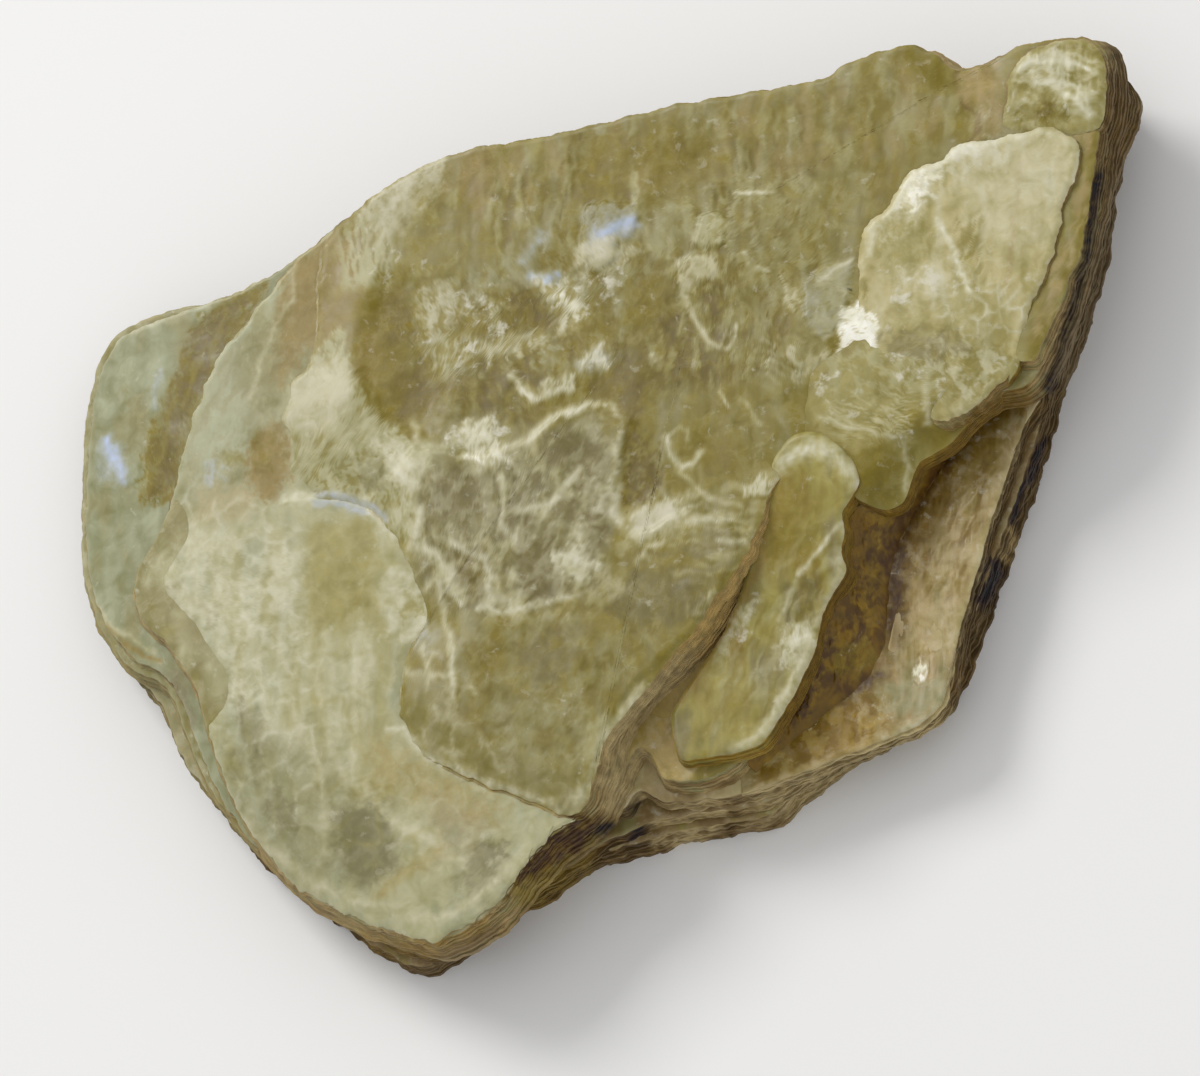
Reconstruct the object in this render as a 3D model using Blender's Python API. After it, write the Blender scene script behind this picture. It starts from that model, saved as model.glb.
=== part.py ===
"""Mica crystal: one natural block of cleaved mica leaves, lying on its flat base.

The block is a stack of leaves.  Each leaf is a closed slab with its own outline, and the
slabs are joined in one solid.  The outlines are in millimetres, seen from above, with +X
along the block's length.  The left side thins out where the leaves curl down.
"""
import math

import bmesh
import bpy
from mathutils import Vector, noise

MM = 0.001                 # outlines and heights below are in millimetres
RIM_STEPS = 2              # points made along each side of an outline
RIM_WOBBLE = 0.30          # how far a rim wanders, mm
RIM_WOBBLE_SIZE = 3.0      # and over what length, mm
RIM_LEAN = 0.25            # how far a rim's foot stands outside its top, where not stated, mm
LEDGE = 0.28               # how far every second ply stands out of a rim, mm
PLY = 1.05                 # height of the plies that show on a rim, mm
TOP_CHAMFER = 0.30         # height of the worn edge around each leaf's top, mm
TOP_WEAR = 0.42            # and its width, mm
GRID = 9.0                 # spacing of the extra points across the flat tops, mm
GRID_OFFSET = 0.4          # keeps the grid's lines off the outlines' own points, mm
CURL_GRID = 3.2            # and where the leaves curl down, mm
CUT_SNAP = 0.02            # a cut passes through a point that is this near, mm
FLAT_WITHIN = math.radians(2.5)    # neighbouring faces closer to flat than this are one face
LEAF_SEED = 20.0           # sets each leaf's wobble apart from the next one's
RELIEF = 0.22              # height of the slow swells on the tops, mm
RELIEF_SIZE = 11.0         # width of those swells, mm
FULL_HEIGHT = 12.3         # height of the main leaf, mm
CURL_DROP = 5.2            # how far the leaves come down at the left rim, mm
CURL_LIMIT = 1.1           # and the most they come down past it, as a share of CURL_DROP
COLOUR = (0.31, 0.28, 0.14, 1.0)
ROUGHNESS = 0.28

# Outlines are (x, y) or (x, y, lean), where lean replaces RIM_LEAN.

BASE_LEAF = [
    (44, 34.8), (44.6, 31.6), (43.9, 26.5), (43, 21.5), (41.7, 16.5), (40.2, 12), (38, 6),
    (36.8, 2), (34.8, -3.5), (32.6, -9), (31, -13), (29.4, -17), (27.8, -19), (25.2, -20.3),
    (21.2, -21.8), (18, -23.8), (15, -25.8), (13, -27), (9, -27.4), (5, -27.7),
    (2.5, -28.3), (-2.5, -29), (-5.3, -30.4), (-8, -31.9), (-11, -32.7), (-12.6, -33.4),
    (-14, -35.2), (-16, -36.6), (-18, -37.2), (-20.5, -36), (-23.5, -33.8), (-28, -30),
    (-32, -26), (-36, -20.5), (-39, -16), (-41, -12.5), (-43.5, -8), (-45, -3), (-46, 3),
    (-46, 9), (-45.5, 14), (-44, 18.5), (-41, 21), (-36, 22.5), (-31, 24), (-27, 26),
    (-23, 28.5), (-18, 30.3), (-10, 31.8), (-2, 32.8), (8, 34.2), (20, 34.8), (27, 36.5),
    (31, 36), (34, 34.2), (39, 35.5), (43, 36),
]

LOWER_LEAF = [
    (45.2, 34.2), (45.8, 31.2), (44.8, 27.2), (43.6, 22), (41.6, 15.5), (40, 11), (38.2, 5.5),
    (36.4, 0), (34.5, -5), (32.6, -10), (31, -14), (29.8, -18), (28.4, -20.2), (25.6, -21.2),
    (21.2, -22.4), (17, -24.6), (13, -26.4), (8, -26.7), (4, -27), (0.5, -28), (-1.5, -28.9),
    (-5, -30.8), (-7.8, -31.8), (-10.4, -32.8), (-12.8, -34.8), (-15, -36.8), (-18, -36.4),
    (-21, -34.8), (-24.5, -32.4), (-29, -29.2), (-33, -25.4), (-36.8, -20), (-39.8, -15.5),
    (-41.5, -12), (-44, -8), (-46, -3), (-47, 3), (-47, 10), (-46.3, 16), (-44.6, 20),
    (-41, 22), (-36, 23), (-31, 24.4), (-27, 26.5), (-23, 29), (-18, 30.8), (-10, 32.4),
    (-2, 33.4), (8, 34.6), (20, 35.3), (27, 37), (31, 36.4), (34, 34.5), (39, 36), (43.5, 36.2),
]

TERRACE_LEAF = [
    (45.6, 34), (46.4, 31.4), (45.6, 27.8), (44, 23), (42.2, 17), (40.4, 11), (38.6, 6.6),
    (37.2, 4.2), (34.8, -2.2), (33.4, -6.6), (32, -11), (31, -14.8), (30.1, -18.6),
    (28.7, -20.8, 0.6), (25.8, -22.2, 0.8), (21, -23.6, 0.7), (17, -24.8, 0.8), (13, -26),
    (8, -26.2), (5, -26), (3, -25), (1.4, -26.4), (-0.6, -26.6), (-1.8, -28.2), (-3.4, -29.4),
    (-6, -31.2), (-9, -33.4), (-11.6, -35.4), (-14, -37), (-17.5, -36.4), (-21, -34.6),
    (-25, -32), (-29.5, -28.6), (-33.4, -24.8), (-37, -20), (-39.6, -16), (-41, -12),
    (-44, -8.4), (-47, -4), (-48.8, 2), (-49, 9), (-48.6, 16.6), (-47, 21.8), (-43.4, 23.8),
    (-36.4, 24.2), (-31, 24.4), (-27, 26.2), (-23, 29.4), (-18, 31), (-10, 32.6), (-2, 33.6),
    (8, 35), (20, 35.6), (27, 37.4), (31, 36.6), (34, 34.6), (39, 36.2), (43.5, 36.4),
]

MIDDLE_LEAF = [
    (46.6, 34), (47.4, 31.6), (46, 27.4), (44.2, 22), (42.2, 15), (40.6, 10), (38.2, 6.4),
    (34.4, 5.4), (31, 2.6), (28, -1.6, 0.6), (25.6, -4, 1.6), (24.6, -8, 2.2),
    (23.2, -12, 3.0), (20.8, -16, 3.4), (18.4, -19.6, 2.4), (16.4, -23, 1.2), (13.6, -24.8),
    (9, -25.2), (6, -24.8), (4.6, -22.4), (3.2, -22), (1.6, -25), (0.4, -27.2),
    (-1.6, -28.8), (-4, -30.4), (-6.4, -32.8), (-8.4, -35.2), (-11.4, -37), (-14.6, -37.4),
    (-18, -36), (-22, -33.8), (-26, -31.2), (-30, -28), (-33.6, -24), (-36.2, -20),
    (-38, -15.5), (-39.5, -11.5), (-43.6, -8.6), (-46.8, -4), (-48.6, 2), (-48.8, 10),
    (-48.2, 17.6), (-45.8, 22.4), (-40.4, 23.6), (-34, 23.8), (-29, 25), (-25, 27.2), (-19, 30.6),
    (-10, 32.4), (-2, 33.4), (8, 34.8), (20, 35.4), (27, 37.2), (31, 36.6), (34, 34.8),
    (39, 36.4), (44, 36.4),
]

LONG_LEAF = [
    (17.2, 2.2), (18.6, 4), (20.4, 4), (22.6, 2.6), (24, -0.2), (24.2, -3.2), (23.2, -6.4),
    (22.8, -10.2), (21.2, -13.2), (19.4, -16.2), (17.6, -19.6), (15.4, -22.6), (12.6, -23.6),
    (9, -23.8), (6.4, -23.2), (5.6, -19), (8, -15), (11, -11), (14, -6), (16, -1),
]

CORNER_LEAF = [
    (20, 10), (20, 5), (10, -10), (2, -20), (0, -27), (-1.8, -28.4), (-4.2, -30), (-6.6, -33),
    (-8.6, -35.4), (-11.4, -37.2), (-14.4, -37.6), (-18, -36.2), (-22, -34), (-26, -31.4),
    (-30, -28), (-33.4, -23.8), (-35.6, -19.6), (-37.2, -15), (-39, -11), (-43, -8),
    (-46.4, -3), (-48, 3), (-48, 11), (-47.2, 17.8), (-44.8, 21.8), (-39.6, 22.8),
    (-35, 23.4), (-30.8, 24.6), (-26.8, 26.6), (-20, 30.4), (-10, 32), (0, 33), (10, 20),
]

UPPER_LEAF = [
    (46.8, 33.4), (46.6, 30), (45.6, 26.8), (44.8, 21.6), (43, 15), (41.4, 10.6), (39, 6.2),
    (36, 4.8), (32.4, 2.4), (30.4, -1.8), (28.4, -4), (26.6, -2.4), (25.4, 0.6), (23.6, 3),
    (21.8, 4.8), (19.6, 5.2), (18, 3.4), (16.6, -0.6), (15, -4), (13.8, -7.4), (11.4, -11),
    (8, -15), (5, -17.4), (2.6, -20.4), (1.4, -24), (0.4, -26.8), (-1.2, -28.4),
    (-3.8, -30.1), (-6, -32.6), (-8, -35.2), (-11, -37), (-14, -37.6), (-17, -36.6),
    (-22, -34.2), (-28, -30), (-32, -24.6), (-34.4, -18.6), (-35.8, -13), (-38.4, -8.6),
    (-41.6, -5), (-42, -1.4), (-39.6, 2.2), (-38, 6), (-37, 10), (-35.6, 14), (-33.8, 17.6),
    (-31.2, 20.4), (-29, 22.6), (-26.8, 25.4), (-23.6, 27.8), (-18.6, 31), (-13.6, 33.1),
    (-8, 33.8), (-2.4, 34.1), (5, 35), (10, 35.5), (20, 36), (24.6, 37.4), (28.4, 38),
    (31, 37.2), (33.4, 35.2), (36.2, 35.6), (39.2, 36.8), (44, 36.8), (46.2, 35.8),
]

MAIN_LEAF = [
    (46.6, 33), (46, 30), (45, 26), (44, 21), (42.4, 14.6), (40.8, 10), (38.8, 6.6),
    (35.8, 5.2), (32, 3.2), (29.6, -0.4), (27.8, -1.4), (26.4, 0.8), (24.6, 3.4),
    (22, 5.6), (19.2, 5.8), (17.4, 3.6), (16, -1), (14.4, -6), (12.8, -9.2), (10, -13),
    (7.6, -15.2), (4.4, -17.8), (2, -20.6), (1.1, -24), (-0.2, -27), (-1.4, -28.4),
    (-4, -26.9), (-7.6, -25.2), (-12.8, -22.8), (-16.6, -20), (-17, -16), (-16.6, -12),
    (-14, -9.6), (-15.2, -6), (-17.2, -0.4), (-20.4, 2), (-23.4, 2.8), (-29, 2.4),
    (-28.2, 5), (-27, 7.4), (-28.2, 11.6), (-27, 14.2), (-25.2, 16), (-24.6, 22),
    (-23.8, 26.8), (-18.6, 30.6), (-13.6, 32.8), (-8, 33.5), (-2.4, 33.8), (5, 34.7),
    (10, 35.2), (20, 35.6), (24.6, 37.1), (28.4, 37.8), (31, 37), (33.4, 35),
    (36.2, 35.4), (39.2, 36.6), (43.6, 36.6), (46, 35.6),
]

FRONT_PLY = [
    (-28, 3.2), (-26.6, 7), (-25.8, 9.6), (-19.4, 8.2), (-13, 6.1), (-9.8, 4.5), (-5, 4.8),
    (-2.2, 7.4), (1.4, 8.1), (3.7, 6), (3.4, 2), (4.6, -1.6), (8, -3), (12.6, -4),
    (13.6, -6.6), (12, -9.8), (9.4, -13), (7, -15.2), (4, -17.8), (1.6, -20.8), (0.8, -24),
    (-0.4, -26.8), (-1.8, -27.8), (-4.4, -26.4), (-8, -24.8), (-12.6, -22.4), (-16.2, -19.8),
    (-16.6, -16), (-16.2, -12), (-13.6, -9.6), (-14.8, -6), (-16.8, -0.2), (-20.2, 2.4),
    (-24, 3),
]

RING_PLY = [
    (-14.6, 13), (-16.4, 19), (-16, 23), (-11, 24.6), (-3, 24), (3, 25), (7, 24), (9.4, 17),
    (8.2, 11), (4.6, 9.6), (1, 9.4), (-3, 8.8), (-7, 8), (-11, 9),
]

PALE_LEAF = [
    (25.8, 19), (27.6, 22.4), (29.8, 24.8), (33, 26.2), (37.4, 27), (41.6, 27.7), (44, 25.6),
    (43.9, 22), (42.6, 16.2), (40.8, 11.8), (38.8, 8), (36.8, 5.9), (34, 4.4), (31, 4),
    (27, 4.6), (23.6, 6.4), (23.4, 10), (24.9, 14.4),
]

KNOB_PLY = [
    (36.4, 32.6), (38.4, 35.6), (41, 36.2), (44.8, 35.8), (46, 33.4), (45.4, 30),
    (43, 28.6), (39.4, 28.4), (37, 29.6),
]

# name, outline, foot height, top height (all before the curl)
LEAVES = [
    ("base_leaf", BASE_LEAF, 0.0, 3.0),
    ("lower_leaf", LOWER_LEAF, 2.7, 4.4),
    ("terrace_leaf", TERRACE_LEAF, 4.1, 6.3),
    ("middle_leaf", MIDDLE_LEAF, 6.0, 8.5),
    ("long_leaf", LONG_LEAF, 8.1, 9.7),
    ("corner_leaf", CORNER_LEAF, 8.2, 9.5),
    ("upper_leaf", UPPER_LEAF, 8.3, 11.1),
    ("main_leaf", MAIN_LEAF, 10.8, 12.1),
    ("front_ply", FRONT_PLY, 11.8, 12.45),
    ("ring_ply", RING_PLY, 11.7, 12.4),
    ("pale_leaf", PALE_LEAF, 11.6, 13.1),
    ("knob_ply", KNOB_PLY, 11.5, 13.3),
]

CURL_SIDE_START = 31.0     # the left side begins to come down at this -X, mm
CURL_SIDE_REACH = 17.5     # and is CURL_DROP down this much further out, mm
CURL_FRONT_START = 31.5    # the lower left side does so at this distance along CURL_AXIS, mm
CURL_FRONT_REACH = 10.0
CURL_AXIS = Vector((-0.72, -0.69))


def clear_scene():
    for thing in list(bpy.data.objects):
        bpy.data.objects.remove(thing, do_unlink=True)


def mica_material():
    material = bpy.data.materials.new("mica")
    material.use_nodes = True
    shader = material.node_tree.nodes["Principled BSDF"]
    shader.inputs["Base Color"].default_value = COLOUR
    shader.inputs["Roughness"].default_value = ROUGHNESS
    shader.inputs["Metallic"].default_value = 0.0
    material.diffuse_color = COLOUR
    return material


def rounded_outline(outline):
    """Catmull-Rom curve through the outline's corners: (x, y, lean) at RIM_STEPS a side."""
    corners = [Vector((p[0], p[1], p[2] if len(p) > 2 else RIM_LEAN)) for p in outline]
    count = len(corners)
    points = []
    for i in range(count):
        a, b, c, d = (corners[(i + k - 1) % count] for k in range(4))
        for step in range(RIM_STEPS):
            t = step / RIM_STEPS
            points.append(0.5 * (2 * b + (c - a) * t + (2 * a - 5 * b + 4 * c - d) * t * t
                                 + (3 * b - a - 3 * c + d) * t * t * t))
    return points


def outward(points):
    """Unit normals of a closed outline, in the plane, pointing away from its inside."""
    count = len(points)
    area = sum(points[i].x * points[(i + 1) % count].y - points[(i + 1) % count].x * points[i].y
               for i in range(count))
    side = 1.0 if area > 0 else -1.0
    normals = []
    for i in range(count):
        along = (points[(i + 1) % count] - points[i - 1]).xy.normalized()
        normals.append(Vector((along.y, -along.x)) * side)
    return normals


def make_leaf(name, outline, foot, top, seed):
    """A closed slab between two heights, its rim stepped in plies and worn at the top."""
    points = rounded_outline(outline)
    normals = outward(points)
    plies = max(1, round((top - TOP_CHAMFER - foot) / PLY))
    rings = []
    for k in range(plies + 1):
        share = k / plies
        stand_out = LEDGE * (k % 2 if k < plies else 0)
        rings.append((foot + (top - TOP_CHAMFER - foot) * share, 1.0 - share, stand_out))
    rings.append((top, 0.0, -TOP_WEAR))
    mesh = bmesh.new()
    loops = []
    for height, lean_share, stand_out in rings:
        loop = []
        for point, normal in zip(points, normals):
            spot = Vector((point.x, point.y, height + seed)) / RIM_WOBBLE_SIZE
            wander = RIM_WOBBLE * noise.noise(spot)
            place = point.xy + normal * (point.z * lean_share + stand_out + wander)
            loop.append(mesh.verts.new((place.x * MM, place.y * MM, height * MM)))
        loops.append(loop)
    count = len(points)
    for lower, upper in zip(loops, loops[1:]):
        for i in range(count):
            j = (i + 1) % count
            mesh.faces.new((lower[i], lower[j], upper[j], upper[i]))
    mesh.faces.new(loops[0])
    mesh.faces.new(loops[-1])
    bmesh.ops.recalc_face_normals(mesh, faces=mesh.faces)
    data = bpy.data.meshes.new(name)
    mesh.to_mesh(data)
    mesh.free()
    leaf = bpy.data.objects.new(name, data)
    bpy.context.scene.collection.objects.link(leaf)
    return leaf


def join_leaves(leaves):
    """One solid: the base leaf with every other leaf united to it."""
    block = leaves[0]
    for leaf in leaves[1:]:
        union = block.modifiers.new(leaf.name, "BOOLEAN")
        union.operation = "UNION"
        union.solver = "EXACT"
        union.object = leaf
        leaf.hide_render = True
        leaf.display_type = "WIRE"
    depsgraph = bpy.context.evaluated_depsgraph_get()
    joined = bpy.data.meshes.new_from_object(block.evaluated_get(depsgraph))
    block.modifiers.clear()
    block.data = joined
    for leaf in leaves[1:]:
        bpy.data.objects.remove(leaf, do_unlink=True)
    return block


def add_grid_points(mesh):
    """Cut the faces along straight lines, so that the flat tops can swell and curl."""
    lines = [((1, 0, 0), k * GRID + GRID_OFFSET) for k in range(-3, 6)]
    lines += [((0, 1, 0), k * GRID + GRID_OFFSET) for k in range(-4, 5)]
    lines += [((-1, 0, 0), CURL_SIDE_START + k * CURL_GRID) for k in range(1, 6)]
    lines += [((CURL_AXIS.x, CURL_AXIS.y, 0), CURL_FRONT_START + k * CURL_GRID) for k in range(3)]
    for direction, distance in lines:
        normal = Vector(direction).normalized()
        geometry = mesh.verts[:] + mesh.edges[:] + mesh.faces[:]
        bmesh.ops.bisect_plane(mesh, geom=geometry, dist=CUT_SNAP * MM,
                               plane_co=normal * distance * MM, plane_no=normal)


def curl_drop(x, y):
    """How far the top comes down at (x, y), mm: nothing inside, CURL_DROP at the left rim."""
    side = max(0.0, (-x - CURL_SIDE_START) / CURL_SIDE_REACH)
    along = x * CURL_AXIS.x + y * CURL_AXIS.y
    front = max(0.0, (along - CURL_FRONT_START) / CURL_FRONT_REACH)
    return CURL_DROP * min(CURL_LIMIT, math.hypot(side * side, front * front))


def shape_top(mesh):
    """Scale each height by the curl, and add slow swells that fade out towards the base."""
    for vertex in mesh.verts:
        x, y, z = vertex.co / MM
        swell = RELIEF * noise.noise(Vector((x, y, 3.0)) / RELIEF_SIZE)
        share = 1.0 - curl_drop(x, y) / FULL_HEIGHT
        vertex.co.z = (z * share + swell * z / FULL_HEIGHT) * MM


def centre_on_base(mesh):
    """Move the block so that its box is centred on the origin, with the base at height 0."""
    low = [min(v.co[i] for v in mesh.verts) for i in range(3)]
    high = [max(v.co[i] for v in mesh.verts) for i in range(3)]
    shift = Vector((-(low[0] + high[0]) / 2, -(low[1] + high[1]) / 2, -low[2]))
    bmesh.ops.translate(mesh, verts=mesh.verts, vec=shift)


def build():
    clear_scene()
    leaves = [make_leaf(*leaf, seed=LEAF_SEED * k) for k, leaf in enumerate(LEAVES)]
    block = join_leaves(leaves)
    mesh = bmesh.new()
    mesh.from_mesh(block.data)
    bmesh.ops.dissolve_limit(mesh, angle_limit=FLAT_WITHIN, verts=mesh.verts, edges=mesh.edges)
    add_grid_points(mesh)
    bmesh.ops.triangulate(mesh, faces=mesh.faces)
    shape_top(mesh)
    centre_on_base(mesh)
    mesh.to_mesh(block.data)
    mesh.free()
    block.name = "mica_crystal"
    block.data.name = "mica_crystal"
    block.data.materials.clear()
    block.data.materials.append(mica_material())


build()
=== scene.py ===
import math
import bpy
import numpy as np
from mathutils import Matrix, Vector


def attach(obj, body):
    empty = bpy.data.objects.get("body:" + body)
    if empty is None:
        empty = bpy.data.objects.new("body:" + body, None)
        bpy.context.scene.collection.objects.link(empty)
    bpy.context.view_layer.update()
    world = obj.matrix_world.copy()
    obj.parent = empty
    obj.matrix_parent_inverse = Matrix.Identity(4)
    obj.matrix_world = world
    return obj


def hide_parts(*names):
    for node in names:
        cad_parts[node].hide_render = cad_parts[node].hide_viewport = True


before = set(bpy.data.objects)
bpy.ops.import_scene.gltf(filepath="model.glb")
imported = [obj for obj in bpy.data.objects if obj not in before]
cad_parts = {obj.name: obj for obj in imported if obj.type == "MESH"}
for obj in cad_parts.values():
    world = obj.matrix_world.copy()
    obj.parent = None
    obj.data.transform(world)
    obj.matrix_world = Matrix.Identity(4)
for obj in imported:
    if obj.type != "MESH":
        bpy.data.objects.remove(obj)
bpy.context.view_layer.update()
print("frame loaded, nodes:", sorted(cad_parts))

# The outlines below are in millimetres, drawn flat and seen from above. The curl then bends
# every leaf down at the left, and planShift brings the drawing onto the solid in the frame.
block = {
    "mm": 0.001,
    "planShift": (0.856, -0.206),
    "fullHeight": 12.3,
    "curlDrop": 5.2,
    "curlMost": 1.1,
    "sideStart": 31.0,
    "sideReach": 17.5,
    "frontStart": 31.5,
    "frontReach": 10.0,
    "frontAxis": (-0.72, -0.69),
    "swell": 0.14,
    "swellSize": 12.0,
}

# colours as they are mixed, 0 to 255
# the paint is multiplied by the first and the second is taken off, as the gloss adds white
paintGain = ((0.95, 0.93, 0.84), (0.026, 0.027, 0.028))

tones = {
    "deepOlive": (108, 95, 38),
    "troughOlive": (130, 117, 52),
    "olive": (136, 126, 68),
    "greyOlive": (146, 140, 102),
    "mossGrey": (139, 135, 101),
    "smokeOlive": (118, 110, 74),
    "springGreen": (160, 152, 100),
    "oliveGrey": (132, 124, 88),
    "limeOlive": (158, 150, 88),
    "orangeBand": (167, 154, 106),
    "greyGreen": (155, 153, 122),
    "paleGreen": (177, 175, 142),
    "blotchGreen": (132, 129, 100),
    "cream": (196, 193, 166),
    "warmCream": (188, 179, 136),
    "crackWhite": (209, 208, 190),
    "white": (228, 228, 216),
    # brightWhite: near pure white, for white flakes and, at the white block, a painted glare
    "brightWhite": (248, 248, 242),
    "wedgeGrey": (197, 194, 174),
    "flakeGrey": (160, 160, 142),
    "coolGreen": (150, 154, 127),
    "coolPale": (172, 176, 152),
    # bluish: painted reflection of a blue sky on glossy flakes; skyGlint is the same, brighter
    "bluish": (184, 194, 216),
    "skyGlint": (176, 192, 228),
    "brownOlive": (152, 135, 90),
    "orangeBrown": (152, 128, 74),
    "amber": (140, 122, 62),
    "honey": (158, 132, 62),
    "darkHoney": (128, 102, 42),
    # creaseBrown: painted shade, dark brown laid in creases, recesses and at the feet of slopes
    "creaseBrown": (78, 58, 24),
    "umber": (104, 84, 54),
    "beige": (168, 148, 108),
    "sand": (184, 168, 130),
    "slopeBrown": (124, 100, 54),
    "seamBrown": (188, 164, 112),
    "clay": (140, 120, 84),
    "wallBrown": (96, 80, 56),
    "wallGrey": (128, 114, 94),
    # soot: black lines along the walls' laminae
    "soot": (40, 33, 26),
}


def path(*numbers):
    # X and Y in turn, made into spots
    return np.reshape(numbers, (-1, 2))


def cornerHash(ix, iy, seed):
    # whole numbers mixed into one number from 0 to 1
    mixed = (ix * 374761393 + iy * 668265263 + seed * 974711) & 0xFFFFFFFF
    mixed = ((mixed ^ (mixed >> 13)) * 1274126177) & 0xFFFFFFFF
    return ((mixed ^ (mixed >> 16)) & 0xFFFFFF) / float(0x1000000)


def softNoise(x, y, seed=0):
    # gradient noise, -1 to 1: a random slope at each whole corner, faded by 6t^5 - 15t^4 + 10t^3
    ix, iy = np.floor(x).astype(np.int64), np.floor(y).astype(np.int64)
    fx, fy = x - ix, y - iy
    fadeX = fx * fx * fx * (fx * (fx * 6 - 15) + 10)
    fadeY = fy * fy * fy * (fy * (fy * 6 - 15) + 10)
    total = 0.0
    for cx in (0, 1):
        for cy in (0, 1):
            angle = cornerHash(ix + cx, iy + cy, seed) * 2 * np.pi
            slope = np.cos(angle) * (fx - cx) + np.sin(angle) * (fy - cy)
            total = total + slope * (fadeX if cx else 1 - fadeX) * (fadeY if cy else 1 - fadeY)
    return total * 1.5


def roughNoise(x, y, seed=0, octaves=4, fade=0.5):
    # soft noise added up, each time twice as fine and lower by fade
    total, height, size = 0.0, 1.0, 1.0
    for k in range(octaves):
        total = total + height * softNoise(x * size + 17.3 * k, y * size - 9.1 * k, seed + k)
        height *= fade
        size *= 2.03
    return total


def cellGap(x, y, seed=0):
    # one random dot in each unit square: second nearest distance less nearest, zero between
    # cells, and a random number for the nearest dot's cell
    ix, iy = np.floor(x).astype(np.int64), np.floor(y).astype(np.int64)
    first, second, number = np.full(x.shape, 9.0), np.full(x.shape, 9.0), np.zeros(x.shape)
    for cx in (-1, 0, 1):
        for cy in (-1, 0, 1):
            dotX = ix + cx + 0.1 + 0.8 * cornerHash(ix + cx, iy + cy, seed)
            dotY = iy + cy + 0.1 + 0.8 * cornerHash(ix + cx, iy + cy, seed + 57)
            gone = np.hypot(dotX - x, dotY - y)
            second = np.minimum(second, np.maximum(first, gone))
            number = np.where(gone < first, cornerHash(ix + cx, iy + cy, seed + 91), number)
            first = np.minimum(first, gone)
    return second - first, number


def smooth(low, high, value):
    # 0 below low, 1 above high, 3t^2 - 2t^3 between
    t = np.clip((value - low) / (high - low), 0, 1)
    return t * t * (3 - 2 * t)


def lineDistance(x, y, path, closed=False):
    # shortest distance from each point to the straight pieces of the path
    ends = np.array(path, float)
    starts = np.roll(ends, 1, 0) if closed else ends[:-1]
    stops = ends if closed else ends[1:]
    best = np.full(x.shape, 1e9)
    for (ax, ay), (bx, by) in zip(starts, stops):
        alongX, alongY = bx - ax, by - ay
        length = max(alongX * alongX + alongY * alongY, 1e-12)
        t = np.clip(((x - ax) * alongX + (y - ay) * alongY) / length, 0, 1)
        best = np.minimum(best, (x - ax - t * alongX) ** 2 + (y - ay - t * alongY) ** 2)
    return np.sqrt(best)


def insideDistance(x, y, path):
    # distance to a closed path, positive inside (even number of crossings is outside)
    inside = np.zeros(x.shape, bool)
    corners = np.array(path, float)
    for (ax, ay), (bx, by) in zip(np.roll(corners, 1, 0), corners):
        if ay != by:
            crosses = (ay > y) != (by > y)
            inside ^= crosses & (x < (bx - ax) * (y - ay) / (by - ay) + ax)
    gone = lineDistance(x, y, path, closed=True)
    return np.where(inside, gone, -gone)


def roundedPath(corners, count, closed=True, finer=12):
    # Catmull-Rom curve through the corners, then count points evenly along it
    p = np.array(corners, float)
    if closed:
        a, b, c, d = np.roll(p, 1, 0), p, np.roll(p, -1, 0), np.roll(p, -2, 0)
    else:
        ends = np.vstack([2 * p[0] - p[1], p, 2 * p[-1] - p[-2]])
        a, b, c, d = ends[:-3], ends[1:-2], ends[2:-1], ends[3:]
    t = (np.arange(finer) / finer)[None, :, None]
    a, b, c, d = (q[:, None, :] for q in (a, b, c, d))
    curve = 0.5 * (2 * b + (c - a) * t + (2 * a - 5 * b + 4 * c - d) * t ** 2
                   + (3 * b - a - 3 * c + d) * t ** 3)
    curve = curve.reshape(-1, p.shape[1])
    curve = np.vstack([curve, p[:1] if closed else p[-1:]])
    steps = np.hypot(*np.diff(curve[:, :2], axis=0).T)
    along = np.concatenate([[0], np.cumsum(steps)])
    places = np.arange(count) * along[-1] / count if closed else np.linspace(0, along[-1], count)
    return np.stack([np.interp(places, along, curve[:, k]) for k in range(p.shape[1])], 1)


def outward(ring):
    # unit normals of a ring that runs anticlockwise, smoothed over its neighbours
    along = np.roll(ring, -2, 0) - np.roll(ring, 2, 0)
    side = np.stack([along[:, 1], -along[:, 0]], 1)
    side = side / np.maximum(np.hypot(side[:, 0], side[:, 1]), 1e-9)[:, None]
    for _ in range(3):
        side = side + np.roll(side, 1, 0) + np.roll(side, -1, 0)
        side = side / np.maximum(np.hypot(side[:, 0], side[:, 1]), 1e-9)[:, None]
    return side


def anticlockwise(ring):
    x, y = ring[:, 0], ring[:, 1]
    return ring if np.sum(x * np.roll(y, -1) - np.roll(x, -1) * y) > 0 else ring[::-1]


def jaggedRing(corners, count, jag, seed):
    # the rounded outline, moved along its normals by coarse and fine noise
    ring = anticlockwise(roundedPath(corners, count))
    x, y = ring[:, 0], ring[:, 1]
    wander = jag * (roughNoise(x / 2.2, y / 2.2, seed, 4, 0.6))
    return ring + outward(ring) * wander[:, None]


def curled(x, y, z):
    # height times one less the drop's share, and slow swells that fade out towards the base
    side = np.maximum(0, (-x - block["sideStart"]) / block["sideReach"])
    axisX, axisY = block["frontAxis"]
    front = np.maximum(0, (x * axisX + y * axisY - block["frontStart"]) / block["frontReach"])
    drop = block["curlDrop"] * np.minimum(block["curlMost"], np.hypot(side ** 2, front ** 2))
    swell = block["swell"] * softNoise(x / block["swellSize"], y / block["swellSize"], 5)
    return z * (1 - drop / block["fullHeight"]) + swell * z / block["fullHeight"]


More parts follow.
